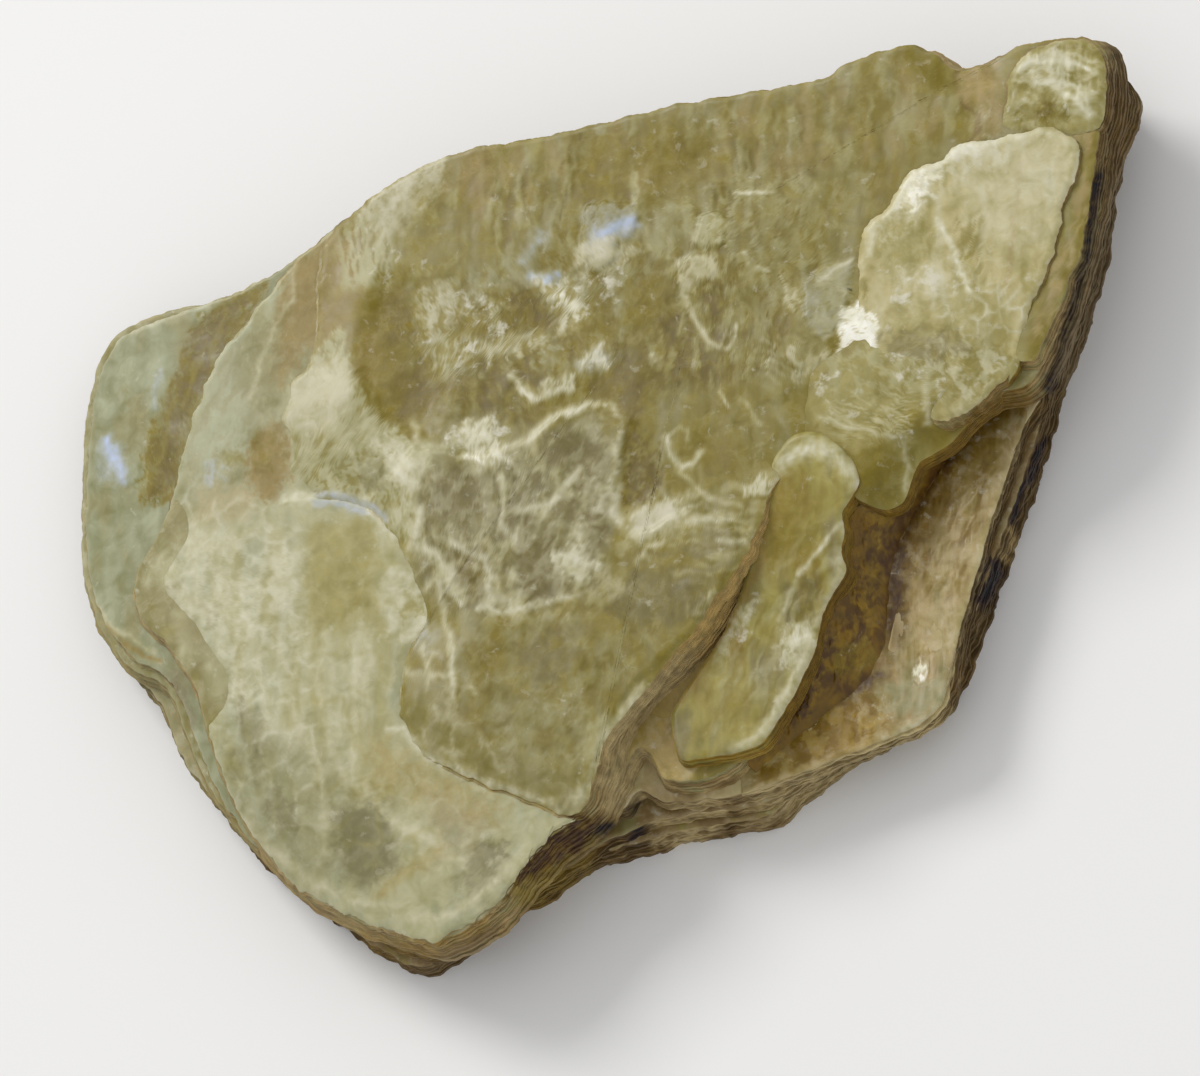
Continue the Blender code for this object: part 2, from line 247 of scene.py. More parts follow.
def squareGrid(ring, centre, count, packed):
    # squares one inside the other, each stretched onto the outline scaled towards the centre;
    # the outermost ones are packed close so that the rim is crisp
    line = np.linspace(-1, 1, count + 1)
    a, b = np.meshgrid(line, line, indexing="ij")
    size = np.maximum(np.abs(a), np.abs(b))
    safe = np.maximum(size, 1e-9)
    around = np.where(b <= -size + 1e-9, (a / safe + 1) / 8, 0.0)
    around = np.where((a >= size - 1e-9), 0.25 + (b / safe + 1) / 8, around)
    around = np.where((b >= size - 1e-9), 0.5 + (1 - a / safe) / 8, around)
    around = np.where((a <= -size + 1e-9) & (b > -size + 1e-9), 0.75 + (1 - b / safe) / 8, around)
    closed = np.vstack([ring, ring[:1]])
    places = np.linspace(0, 1, len(closed))
    reach = np.hypot(*(ring - centre).T).mean()
    last = len(packed)
    steps = np.round(size * count / 2).astype(int)
    share = np.linspace(0, 1 - packed[-1] / reach, count // 2 - last + 1)
    share = np.concatenate([share, [1 - q / reach for q in packed[::-1]][1:], [1.0]])
    scale = share[steps]
    outX, outY = (np.interp(around, places, closed[:, k]) for k in (0, 1))
    return centre[0] + scale * (outX - centre[0]), centre[1] + scale * (outY - centre[1])


def bandGrid(outer, inner, along, across, jag, packed, seed):
    # straight lines from the outer path to the inner one, packed close at the outer rim
    first, last = roundedPath(outer, along + 1, closed=False), roundedPath(inner, along + 1, closed=False)
    side = np.gradient(first, axis=0)
    side = np.stack([side[:, 1], -side[:, 0]], 1) / np.hypot(side[:, 0], side[:, 1])[:, None]
    wander = jag * roughNoise(first[:, 0] / 2.2, first[:, 1] / 2.2, seed, 4, 0.6)
    first = first + side * wander[:, None]
    width = np.hypot(*(last - first).T).mean()
    share = np.concatenate([[0], np.array(packed) / width,
                            np.linspace(packed[-1] / width, 1, across + 1 - len(packed))[1:]])
    x = first[:, None, 0] * (1 - share) + last[:, None, 0] * share
    y = first[:, None, 1] * (1 - share) + last[:, None, 1] * share
    return x, y


def gridBorder(rows, columns):
    # numbers of the grid's outermost points, once round, anticlockwise
    number = np.arange(rows * columns).reshape(rows, columns)
    return np.concatenate([number[:-1, 0], number[-1, :-1], number[:0:-1, -1], number[0, :0:-1]])


def gridFaces(rows, columns):
    # on a square grid the faces on one diagonal start a corner later, so each splits outwards
    number = np.arange(rows * columns).reshape(rows, columns)
    quads = np.stack([number[:-1, :-1], number[1:, :-1], number[1:, 1:], number[:-1, 1:]], -1)
    if rows == columns:
        k = np.arange(rows - 1)
        quads[k, k[::-1]] = np.roll(quads[k, k[::-1]], 1, axis=1)
    return quads.reshape(-1, 4)


def toLinear(colour):
    # screen colour to light: (c + 0.055) / 1.055 to the power 2.4 above a short straight start
    c = np.clip(np.asarray(colour, float), 0, 1)
    return np.where(c <= 0.04045, c / 12.92, ((c + 0.055) / 1.055) ** 2.4)


def tone(name):
    return np.array(tones[name], float) / 255


def mixed(colour, name, share):
    share = np.clip(share, 0, 1)[:, None]
    return colour * (1 - share) + tone(name) * share


def ragged(x, y, seed, amount=1.0):
    # the spot as a mark sees it: pushed about by noise that is longer along the fibres, in Y
    dx = 0.44 * roughNoise(x / 1.5, y / 1.9, seed, 3, 0.5)
    dy = 0.50 * roughNoise(x / 1.5, y / 2.1, seed + 40, 3, 0.5)
    return x + amount * dx, y + amount * dy


def near(x, y, points, reach):
    p = np.array(points, float)
    low, high = p.min(0) - reach, p.max(0) + reach
    return (x > low[0]) & (x < high[0]) & (y > low[1]) & (y < high[1])


def region(x, y, soft, points):
    return smooth(-soft, soft, insideDistance(x, y, points))


def patchMark(x, y, seed, soft, points):
    # the region with its edge eaten into by noise, and mottled inside
    eaten = min(1.2 * soft, 0.6) * roughNoise(x / 0.8, y / 1.0, seed, 4, 0.6)
    grain = 1 - (0.6 if soft <= 0.5 else 0.4) * smooth(-0.05, 0.45, roughNoise(x / 0.7, y / 0.9, seed + 9, 4, 0.6))
    return smooth(-soft, soft, insideDistance(x, y, points) + eaten) * grain


def strokeMark(x, y, seed, width, points):
    # falls off from the line as a bell curve, its width and strength wandering
    gone = lineDistance(x, y, points) / (width * (1 + 0.5 * softNoise(x / 0.7, y / 0.7, seed)))
    return np.exp(-gone ** 2) * (0.85 + 0.4 * softNoise(x / 0.5, y / 0.5, seed + 3))


def netMark(x, y, seed, size, width, soft, points):
    # lines between cells of the given size, inside the region
    gap = cellGap(x / size[0], y / size[1], seed)[0] * (size[0] + size[1]) / 2
    broken = smooth(-0.5, 0.3, roughNoise(x / 2.2, y / 2.2, seed + 5, 2))
    return np.exp(-(gap / width) ** 2) * broken * region(x, y, soft, points)


def cellMark(x, y, seed, size, cover, soft, points):
    # whole cells of the given size, as many as that share, with soft borders
    gap, number = cellGap(x / size[0], y / size[1], seed)
    return smooth(0.02, 0.3, gap) * smooth(-0.2, 0.1, cover - number) * region(x, y, soft, points)


def streakMark(x, y, seed, size, angle, cover, soft, points):
    # noise drawn out along one direction, cut off so that it covers that share of the region
    turn = math.radians(angle)
    across, along = x * math.cos(turn) + y * math.sin(turn), y * math.cos(turn) - x * math.sin(turn)
    level = 0.62 - 1.24 * cover
    noise = roughNoise(across / size[0], along / size[1], seed, 2, 0.45)
    return smooth(level - 0.28, level + 0.28, noise) * region(x, y, soft, points)


def crustMark(x, y, seed, size, cover, soft, points):
    # broken crumbs: fine noise cut off so that it covers that share of the region
    level = 0.62 - 1.24 * cover
    noise = roughNoise(x / size, y / size * 0.8, seed, 4, 0.6)
    return smooth(level - 0.2, level + 0.2, noise) * region(x, y, soft, points)


markKinds = {"patch": patchMark, "stroke": strokeMark, "net": netMark, "streak": streakMark, "crust": crustMark,
             "cell": cellMark}
markReach = {"patch": 2.0, "stroke": 3.0, "net": 2.0, "streak": 2.0, "crust": 2.0, "flake": 2.0, "crack": 2.0, "cell": 2.0}
markRagged = {"patch": 1.0, "stroke": 0.5, "net": 0.6, "streak": 0.8, "crust": 0.8, "flake": 1.3, "crack": 1.0, "cell": 1.2}


def noting(kind, count):
    # a maker of marks of one kind: tone, strength and that many details, then X and Y in turn
    return lambda tone, strength, *rest: (kind, tone, strength, *rest[:count], path(*rest[count:]))


patch, stroke, flake = noting("patch", 1), noting("stroke", 1), noting("flake", 1)
net, crust, cell, streak = noting("net", 3), noting("crust", 3), noting("cell", 3), noting("streak", 4)


def addMarks(colour, x, y, marks, seed):
    # each mark mixes its tone over what is there, its noise seeded by its first spot; flakes only
    # raise an amount that the material turns into broken white
    flakes = np.zeros(len(x))
    for kind, name, strength, *detail in marks:
        found = near(x, y, detail[-1], detail[-2] * markReach[kind] + 1.0)
        if not found.any():
            continue
        own = seed + int(np.abs(detail[-1][0]) @ (70, 310))
        wx, wy = ragged(x[found], y[found], own, markRagged[kind])
        if kind == "flake":
            cover = region(wx, wy, *detail)
            flakes[found] = np.maximum(flakes[found], strength * cover)
            colour[found] = mixed(colour[found], name, 0.2 * strength * cover)
        else:
            cover = markKinds[kind](wx, wy, own + 11, *detail)
            colour[found] = mixed(colour[found], name, strength * cover)
            flakes[found] *= 1 - 0.8 * strength * cover
    return colour, flakes


def laminae(foot, top, thick, seed):
    # heights from the top down, each step a random thickness
    chance = np.random.default_rng(seed)
    heights = [top]
    while heights[-1] - foot > thick * 1.3:
        heights.append(heights[-1] - thick * chance.uniform(0.6, 1.4))
    heights[-1] = foot if heights[-1] - foot < thick * 0.6 else heights[-1]
    return heights if heights[-1] == foot else heights + [foot]


def wallRows(ring, leaf, topHeight):
    # two rows a lamina at the same stand-out: lean plus noise along the rim, different in each
    side = outward(ring)
    x, y = ring[:, 0], ring[:, 1]
    top, foot = leaf["top"] - leaf.get("wear", 0.12), leaf["foot"]
    heights = laminae(foot, top, leaf.get("lamina", 0.28), leaf["seed"])
    lean = leaf.get("lean", 0.25)
    step = leaf.get("step", 0.16)
    sag = topHeight - top
    rows = []
    for k, (upper, lower) in enumerate(zip(heights, heights[1:])):
        share = (top - (upper + lower) / 2) / max(top - foot, 1e-6)
        bundle = softNoise(x / 7 + 3 * k * leaf.get("lamina", 0.28), y / 7, leaf["seed"] + 3)
        own = roughNoise(x / 2.4 + 11.7 * k, y / 2.4 - 5.3 * k, leaf["seed"] + 11, 3, 0.6)
        stand = lean * share + step * (0.7 * bundle + own)
        if k == 0:
            stand = np.clip(stand, 0.0, 0.02)
        for z in (upper if k else upper - 0.02, lower):
            z = z + sag * np.clip((z - foot) / max(top - foot, 1e-6), 0, 1)
            rows.append((x + side[:, 0] * stand, y + side[:, 1] * stand, z, np.full(len(x), k)))
    return rows


def plyLift(x, y, leaf):
    # thin plies left on a leaf, or torn off it where the height is negative, drawn on the plane
    dx, dy = asDrawn(x, y, curled(x, y, leaf["top"] + np.zeros(len(x))))
    lift = np.zeros(len(x))
    for k, (height, soft, points) in enumerate(leaf.get("plies", [])):
        wx, wy = ragged(dx, dy, leaf["seed"] * 10 + 300 + 7 * k, 0.6)
        found = near(wx, wy, points, soft * 2)
        if found.any():
            lift[found] += height * region(wx[found], wy[found], soft, points)
    return lift


def slopeLift(x, y, leaf):
    # height added along a path and faded out over its reach
    lift = np.zeros(len(x))
    for height, reach, path in leaf.get("slopes", []):
        found = near(x, y, path, reach)
        if found.any():
            lift[found] += height * (1 - smooth(0, reach, lineDistance(x[found], y[found], path)))
    return lift


def gridLeaf(name, leaf, gx, gy, paintTop, paintWall):
    # top grid, wall and underside; rim is each top point's distance from the rim
    rows, columns = gx.shape
    border = gridBorder(rows, columns)
    x, y = gx.ravel(), gy.ravel()
    ring = np.stack([x[border], y[border]], 1)
    i, j = np.meshgrid(np.arange(rows), np.arange(columns), indexing="ij")
    depth = np.minimum(np.minimum(i, rows - 1 - i), np.minimum(j, columns - 1 - j)).ravel()
    rim = np.full(x.shape, 9.0)
    close = depth < leaf.get("rimRows", 26)
    rim[close] = lineDistance(x[close], y[close], ring[::3], closed=True)
    rim[border] = 0
    return finishLeaf(name, leaf, x, y, rim, border, [gridFaces(rows, columns)], [], paintTop, paintWall)


def finishLeaf(name, leaf, x, y, rim, border, faces, caps, paintTop, paintWall):
    # heights, then the wall's rows hung from the border, then one face for the underside
    ring = np.stack([x[border], y[border]], 1)
    count, first = len(border), len(x)
    worn = leaf.get("wear", 0.12) * np.clip(1 - rim / leaf.get("wearWidth", 0.3), 0, 1) ** 2
    height = leaf["top"] + leaf["relief"](x, y, rim) + plyLift(x, y, leaf) + slopeLift(x, y, leaf)
    colour, amounts, raised = paintTop(x, y, rim, height)
    height = height + raised * smooth(0, 0.5, rim) - worn
    walls = wallRows(ring, leaf, height[border])
    topCount = len(faces[0])
    above = border
    for k in range(len(walls)):
        below = first + k * count + np.arange(count)
        faces.append(np.stack([above, below, np.roll(below, -1), np.roll(above, -1)], 1))
        above = below
    allX = np.concatenate([x] + [w[0] for w in walls])
    allY = np.concatenate([y] + [w[1] for w in walls])
    allZ = np.concatenate([height] + [w[2] for w in walls])
    return makePiece(name, (allX, allY, allZ), np.concatenate(faces), topCount, caps + [above[::-1]],
                     first, walls, colour, amounts, paintWall)


# The marks and most outlines are drawn on a level plane, along lines that run to one spot
# above the block's lower right, so a mark on a lower leaf lies on the same line as its drawing.
drawing = {"plane": 12.0, "tilt": 27.0, "turn": -50.0, "aim": (0.0, 0.0, 8.0), "distance": 750.0}


def lookingBack():
    # unit vector from the aim to that spot: tilt from straight up, turned about Z
    tilt, turn = math.radians(drawing["tilt"]), math.radians(drawing["turn"])
    return np.array([math.sin(tilt) * math.cos(turn), math.sin(tilt) * math.sin(turn), math.cos(tilt)])


eye = np.array(drawing["aim"]) + lookingBack() * drawing["distance"]


def asDrawn(x, y, z, plane=drawing["plane"]):
    # the spot where the line from the eye through the point meets the drawing plane
    share = (eye[2] - plane) / (eye[2] - z)
    return eye[0] + (x - eye[0]) * share, eye[1] + (y - eye[1]) * share


def nodeMaker(material):
    tree = material.node_tree

    def add(kind, links=None, **settings):
        made = tree.nodes.new(kind)
        for key, value in settings.items():
            setattr(made, key, value)
        for socket, value in (links or {}).items():
            if isinstance(value, bpy.types.NodeSocket):
                tree.links.new(value, made.inputs[socket])
            else:
                made.inputs[socket].default_value = value
        return made
    return tree, add


faceFinish = {
    "cloudScale": 620.0,                     # all scales are per metre
    "cloudDeep": (0.85, 0.88, 1.45),         # how much red, green and blue swing with the clouds
    "fibreScale": (1700.0, 240.0, 700.0),    # fine fibres along Y
    "fibreDeep": 0.07,
    "flakeScale": 800.0,
    "flakeTone": (0.64, 0.62, 0.50, 1.0),
    "crackScales": (520.0, 900.0),
    "crackTone": (0.56, 0.54, 0.41, 1.0),
    "roughness": (0.30, 0.60),
    "bump": 0.35,
    "bumpHeight": 0.00005,
    "subsurface": 0.12,
    "subsurfaceRadius": (0.0016, 0.0013, 0.0007),
    "specular": 0.30,
    "coat": 0.04,
    "coatRoughness": 0.22,
    "ior": 1.58,
}


def faceMaterial():
    # painted colour, darkened and lit by clouds and fibres, with broken flakes and cracks laid on
    material = bpy.data.materials.new("micaFace")
    material.use_nodes = True
    tree, add = nodeMaker(material)
    shader = tree.nodes["Principled BSDF"]
    finish = faceFinish
    spot = add("ShaderNodeTexCoord").outputs["Object"]

    def attribute(name, output="Fac"):
        return add("ShaderNodeAttribute", attribute_name=name).outputs[output]

    def noise(vector, scale, detail, roughness, distortion=0.0, output="Fac"):
        return add("ShaderNodeTexNoise", {"Vector": vector, "Scale": scale, "Detail": detail, "Roughness": roughness,
                                          "Distortion": distortion}).outputs[output]

    def between(value, low, high, start=0.0, end=1.0, kind="LINEAR"):
        return add("ShaderNodeMapRange", {"Value": value, "From Min": low, "From Max": high, "To Min": start,
                                          "To Max": end}, interpolation_type=kind).outputs[0]

    def maths(operation, *values):
        return add("ShaderNodeMath", dict(enumerate(values)), operation=operation).outputs[0]

    cloud = noise(spot, finish["cloudScale"], 4.0, 0.5, 0.6)
    fibreSpot = add("ShaderNodeMapping", {"Vector": spot, "Scale": finish["fibreScale"]}).outputs[0]
    fibre = noise(fibreSpot, 1.0, 2.0, 0.5)
    swing = maths("MULTIPLY_ADD", maths("SUBTRACT", fibre, 0.5), finish["fibreDeep"], maths("SUBTRACT", cloud, 0.5))
    swing = maths("MULTIPLY", swing, attribute("cloud"))
    shade = add("ShaderNodeVectorMath", {0: swing, 1: finish["cloudDeep"], 2: (1.0, 1.0, 1.0)},
                operation="MULTIPLY_ADD").outputs[0]
    toned = add("ShaderNodeVectorMath", {0: attribute("paint", "Color"), 1: shade}, operation="MULTIPLY").outputs[0]

    push = noise(spot, 1000.0, 4.0, 0.65, output="Color")
    push = add("ShaderNodeVectorMath", {0: push, "Scale": 0.0018}, operation="SCALE").outputs[0]
    warped = add("ShaderNodeVectorMath", {0: spot, 1: push}, operation="ADD").outputs[0]
    lines = []
    for size, low, high in zip(finish["crackScales"], (0.44, 0.50), (0.58, 0.62)):
        gap = add("ShaderNodeTexVoronoi", {"Vector": warped, "Scale": size}, feature="DISTANCE_TO_EDGE").outputs["Distance"]
        line = between(gap, 0.0, 0.16, 0.7, 0.0, "SMOOTHSTEP")
        lines.append(maths("MULTIPLY", line, between(cloud, low, high)))
    crack = maths("MULTIPLY", maths("MAXIMUM", *lines), attribute("crack"))
    cracked = add("ShaderNodeMix", {0: crack, 6: toned, 7: finish["crackTone"]}, data_type="RGBA").outputs[2]

    crumb = between(noise(spot, finish["flakeScale"], 3.0, 0.6, 0.3), 0.30, 0.70)
    level = maths("MULTIPLY_ADD", attribute("flake"), 1.0, crumb)
    flake = between(level, 0.90, 1.50, 0.0, 0.75, "SMOOTHSTEP")
    colour = add("ShaderNodeMix", {0: flake, 6: cracked, 7: finish["flakeTone"]}, data_type="RGBA").outputs[2]
    tree.links.new(colour, shader.inputs["Base Color"])

    rough = between(cloud, 0.3, 0.7, *finish["roughness"])
    tree.links.new(rough, shader.inputs["Roughness"])
    heights = maths("ADD", maths("ADD", cloud, maths("MULTIPLY", fibre, 0.3)), maths("ADD", crack, flake))
    bump = add("ShaderNodeBump", {"Height": heights, "Strength": finish["bump"], "Distance": finish["bumpHeight"]})
    tree.links.new(bump.outputs[0], shader.inputs["Normal"])
    shader.inputs["IOR"].default_value = finish["ior"]
    shader.inputs["Subsurface Weight"].default_value = finish["subsurface"]
    shader.inputs["Subsurface Radius"].default_value = finish["subsurfaceRadius"]
    shader.inputs["Subsurface Scale"].default_value = 1.0
    shader.inputs["Specular IOR Level"].default_value = finish["specular"]
    shader.inputs["Coat Weight"].default_value = finish["coat"]
    shader.inputs["Coat Roughness"].default_value = finish["coatRoughness"]
    return material


wallFinish = {
    "layerScale": (260.0, 260.0, 5200.0),    # thin sheets across Z, per metre
    "grainScale": 2200.0,
    "roughness": (0.55, 0.85),
    "bump": 0.4,
    "bumpHeight": 0.00018,
}


def wallMaterial():
    # painted colour, crossed by thin level sheets and grain
    material = bpy.data.materials.new("micaWall")
    material.use_nodes = True
    tree, add = nodeMaker(material)
    shader = tree.nodes["Principled BSDF"]
    spot = add("ShaderNodeTexCoord").outputs["Object"]
    paint = add("ShaderNodeAttribute", attribute_name="paint").outputs["Color"]
    layerSpot = add("ShaderNodeMapping", {"Vector": spot, "Scale": wallFinish["layerScale"]}).outputs[0]
    layer = add("ShaderNodeTexNoise", {"Vector": layerSpot, "Scale": 1.0, "Detail": 4.0, "Roughness": 0.65}).outputs["Fac"]
    grain = add("ShaderNodeTexNoise", {"Vector": spot, "Scale": wallFinish["grainScale"], "Detail": 4.0,
                                       "Roughness": 0.7}).outputs["Fac"]
    both = add("ShaderNodeMath", {0: layer, 1: grain}, operation="ADD").outputs[0]
    shade = add("ShaderNodeMapRange", {"Value": both, "From Min": 0.6, "From Max": 1.4, "To Min": 0.74, "To Max": 1.26}).outputs[0]
    toned = add("ShaderNodeVectorMath", {0: paint, "Scale": shade}, operation="SCALE").outputs[0]
    tree.links.new(toned, shader.inputs["Base Color"])
    rough = add("ShaderNodeMapRange", {"Value": grain, "From Min": 0.3, "From Max": 0.7,
                                       "To Min": wallFinish["roughness"][0], "To Max": wallFinish["roughness"][1]}).outputs[0]
    tree.links.new(rough, shader.inputs["Roughness"])
    bump = add("ShaderNodeBump", {"Height": both, "Strength": wallFinish["bump"], "Distance": wallFinish["bumpHeight"]})
    tree.links.new(bump.outputs[0], shader.inputs["Normal"])
    shader.inputs["IOR"].default_value = 1.56
    return material


micaFace = faceMaterial()
micaWall = wallMaterial()
print("materials ready")


def baseColour(x, y, leaf):
    # three tones of the leaf, blended by blotches and by bands that run along the fibres
    low, middle, high = (tone(name) for name in leaf["tones"])
    slow = roughNoise(x / 5.0, y / 6.5, leaf["seed"] + 200, 3, 0.55)
    wave = 0.8 * softNoise(x / 6, y / 7, leaf["seed"] + 220)
    bands = roughNoise((x + wave) / 1.9, y / 11.0, leaf["seed"] + 230, 3, 0.55)
    blend = np.clip(0.5 + 0.42 * slow + leaf.get("bands", 0.42) * bands, 0, 1)[:, None]
    return np.where(blend < 0.5, low + (middle - low) * blend * 2, middle + (high - middle) * (blend * 2 - 1))


def topPaint(leaf):
    def paint(x, y, rim, height):
        dx, dy = asDrawn(x, y, curled(x, y, height), leaf.get("drawnAt", drawing["plane"]))
        base = baseColour(dx, dy, leaf)
        colour, flake = addMarks(base.copy(), dx, dy, leaf.get("marks", []), leaf["seed"] * 10)
        # a pale line along each rim, broken by noise: the whitened edge of the sheet together with a painted rim
        # highlight
        broken = 0.55 + 0.6 * roughNoise(x / 1.7, y / 1.7, leaf["seed"] + 60, 3)
        edge = np.exp(-(rim / leaf.get("edgeWidth", 0.35)) ** 2) * broken
        colour = mixed(colour, leaf.get("edgeTone", "crackWhite"), leaf.get("edge", 0.15) * edge)
        raised = leaf.get("raised", 0.16) * np.clip(colour.mean(1) - base.mean(1), -0.3, 0.35) + 0.05 * flake
        slow = 0.7 + 0.6 * roughNoise(x / 5, y / 6, leaf["seed"] + 70, 2)
        flake = np.maximum(flake, leaf.get("flake", 0.22) * np.clip(slow, 0, 1.5))
        crack = leaf.get("crack", 0.3) * np.clip(slow, 0, 1.5)
        return np.clip(colour, 0, 1), np.stack([flake, crack, np.full(len(x), leaf.get("cloud", 1.0))], 1), raised
    return paint


wallTones = {
    "pale": ("clay", "beige", "greyOlive"),
    "dark": ("wallBrown", "umber", "clay"),
    "amber": ("darkHoney", "honey", "olive"),
    # litSand: paler than the wall's own colour, painted light for the walls below the terrace that face away from the
    # lamp
    "litSand": ("clay", "sand", "warmCream"),
}

# marks on the walls, drawn on the same plane as the tops' marks
wallMarks = [
    patch("wallBrown", 0.85, 1.2, 52, 36, 51, 22, 44, 0, 36, -18, 31, -18, 37.5, 1, 41, 6, 44, 14, 46, 24,
        46.5, 36),
    # painted light: a lighter amber on main's wall beside the long leaf, which faces away from the lamp
    patch("seamBrown", 1, 0.9, 20, 5, 16, -1, 13, -7, 6.4, -16, 8, -18, 14, -14, 17.4, -8, 20.4, 3),
    patch("slopeBrown", 0.9, 0.9, 18, -25, 23, -15, 26, -7, 26, -3, 24, -1, 22.4, -9, 19, -16, 16, -23.6),
    patch("slopeBrown", 0.9, 0.9, 39, 7, 40, 3, 35, 0, 30, -5, 25, -5, 25, -2, 28.4, -2, 34, 3.4),
    patch("coolPale", 0.9, 1.2, -52, -4, -52, 20, -44, 27, -20, 34, -22, 28, -30, 24, -40, 21, -45, 17, -46,
        8, -45, -4),
    patch("greyOlive", 0.7, 1.2, -52, -4, -45, -4, -38, -10, -34, -20, -30, -27, -36, -30, -44, -16),
    patch("olive", 0.8, 1, -8, 32, 4, 34, 30, 37, 30, 40, -8, 38),
    patch("cream", 0.9, 0.9, -30, 2, -27, 2, -27, 8, -26, 14, -24.6, 18, -24, 25, -25, 25.6, -26, 16, -28.4,
        12, -28, 6),
    patch("crackWhite", 0.9, 0.9, -30, 3.4, -30, 1.4, -22, 1.2, -18.6, -1, -17, -4, -16, -3.6, -17, 0, -20,
        3.4),
    patch("paleGreen", 0.9, 0.9, -18, -20, -15.6, -20, -15.6, -12, -13.4, -9, -15, -3, -17, -3, -15.6, -8,
        -17.6, -12),
    patch("orangeBand", 0.9, 0.8, -18, -20, -13, -23.4, -2, -29.4, -1.6, -27.6, -8, -24, -16, -18.6),
    # painted light: these walls face away from the lamp and are painted paler than their own colour, for light coming
    # through the mineral
    patch("sand", 0.8, 1.6, 14, -31, 14, -26, 24, -25, 31.5, -22, 33, -24, 30, -27, 20, -31),
    flake("warmCream", 0.54, 1.2, 14, -31, 14, -26, 24, -25, 31.5, -22, 33, -24, 30, -27, 20, -31),
    # painted light: sand, lighter than the walls' own colour, for light that reaches these shaded front walls
    patch("sand", 1, 1, 1.5, -28.5, 1.5, -20, 9.5, -14.5, 10.5, -17, 7, -22, 6, -29),
    patch("sand", 0.6, 0.8, 3.8, -28.4, 1.8, -28.4, 1.8, -25.6, 3.6, -25.6),
    # painted shade in the recess at the front foot
    patch("creaseBrown", 0.9, 0.8, 1.4, -29, 0.6, -31.6, -4, -34, -7.6, -34.6, -8, -31.6, -5, -30.6, -1,
        -28.4),
    patch("amber", 0.7, 0.9, -7.6, -34.4, 0.6, -31.4, 0.6, -34, -5, -36.6),
    stroke("soot", 1, 0.7, 1.4, -30, 2.4, -30.3),
    stroke("soot", 1, 0.9, 4.8, -28.6, 4.9, -29.6, 4.6, -30.8),
    # painted light: sand, lighter than the wall's own colour
    patch("sand", 0.9, 0.6, 13, -28.4, 9, -28, 5.8, -28.8, 5.4, -31.6, 8, -32.6, 12, -31.4),
    patch("orangeBrown", 0.7, 0.9, -8.4, -38, -14, -40.4, -20, -39, -20, -37, -15, -38.2, -9, -36.6),
    patch("wallGrey", 0.6, 0.8, -18, -40, -13, -41.4, -8, -39, -8.6, -37.8, -14, -40),
    patch("umber", 0.7, 1, 49, 33, 49, 24, 45.5, 23, 45.5, 31),
    stroke("soot", 0.95, 0.5, 45.6, 23.6, 44.3, 16, 43.2, 11.8, 41, 5),
    patch("wallGrey", 0.7, 0.9, 48.4, 26, 49, 22, 46, 12, 43, 4, 41, 6, 43.6, 12, 46, 20),
    stroke("soot", 1, 0.8, 36, -10.4, 35.6, -12, 35, -13.2),
    stroke("soot", 0.9, 0.35, 38.6, -3.4, 37.4, -6.8),
    stroke("soot", 0.9, 0.4, 40.4, 0.2, 39, -3.2),
    patch("beige", 0.8, 0.5, 36.4, -10.2, 37.2, -7, 38, -7.2, 37.2, -10.4),
]


def wallPaint(leaf):
    # one tone for each lamina, drifting along the rim, then the marks
    def paint(x, y, z, k):
        chance = cornerHash(k.astype(np.int64), k.astype(np.int64) * 0, leaf["seed"] + 400)
        drift = 0.8 * roughNoise(x / 4 + k * 1.3, y / 4, leaf["seed"] + 410, 3)
        pick = np.clip(0.25 + 0.5 * chance + drift, 0, 1)[:, None]
        low, middle, high = (tone(name) for name in wallTones[leaf.get("wall", "pale")])
        colour = np.where(pick < 0.5, low + (middle - low) * pick * 2, middle + (high - middle) * (pick * 2 - 1))
        dx, dy = asDrawn(x, y, curled(x, y, z))
        colour = addMarks(colour, dx, dy, wallMarks, leaf["seed"] * 10 + 5)[0]
        swing = 0.10 * np.tanh(1.5 * roughNoise((x + y) / 1.6, z / 0.8 + (x - y) / 3.0, leaf["seed"] + 420, 3, 0.6))
        return colour * (1 + swing[:, None])
    return paint


def softRelief(height, seed, fibre=0.005):
    # slow swells, shorter ones, and ridges along the fibres, in mm
    def relief(x, y, rim):
        return (height * roughNoise(x / 7, y / 9, seed, 3, 0.5)
                + fibre * roughNoise(x / 0.7, y / 4.0, seed + 7, 3, 0.6))
    return relief


def slab(name, leaf):
    # a leaf of which only the rim shows: a few rings inward on top, and a plain middle
    ring = jaggedRing(leaf["outline"], leaf["around"], leaf["jag"], leaf["seed"])
    centre = np.array(leaf.get("centre", (0.0, 2.0)))
    reach = np.hypot(*(ring - centre).T)
    inward = [1 - d / reach for d in leaf.get("inset", (6.0, 4.2, 2.9, 2.0, 1.35, 0.85, 0.45, 0.18, 0.0))]
    gx = np.stack([centre[0] + (ring[:, 0] - centre[0]) * s for s in inward], 1)
    gy = np.stack([centre[1] + (ring[:, 1] - centre[1]) * s for s in inward], 1)
    rim = np.stack([reach * (1 - s) for s in inward], 1).ravel()
    number = np.arange(gx.size).reshape(gx.shape)
    after = np.roll(number, -1, 0)
    rings = np.stack([number[:, :-1], number[:, 1:], after[:, 1:], after[:, :-1]], -1).reshape(-1, 4)
    return finishLeaf(name, leaf, gx.ravel(), gy.ravel(), rim, number[:, -1], [rings], [number[:, 0]],
                      topPaint(leaf), wallPaint(leaf))


def wholeLeaf(name, leaf):
    # a leaf whose top shows: squares inside squares, evened out, fine all over
    ring = jaggedRing(leaf["outline"], 4 * leaf["cells"], leaf["jag"], leaf["seed"])
    gx, gy = squareGrid(ring, leaf["centre"], leaf["cells"], leaf.get("packed", (0.08, 0.18, 0.32, 0.5)))
    return gridLeaf(name, leaf, gx, gy, topPaint(leaf), wallPaint(leaf))


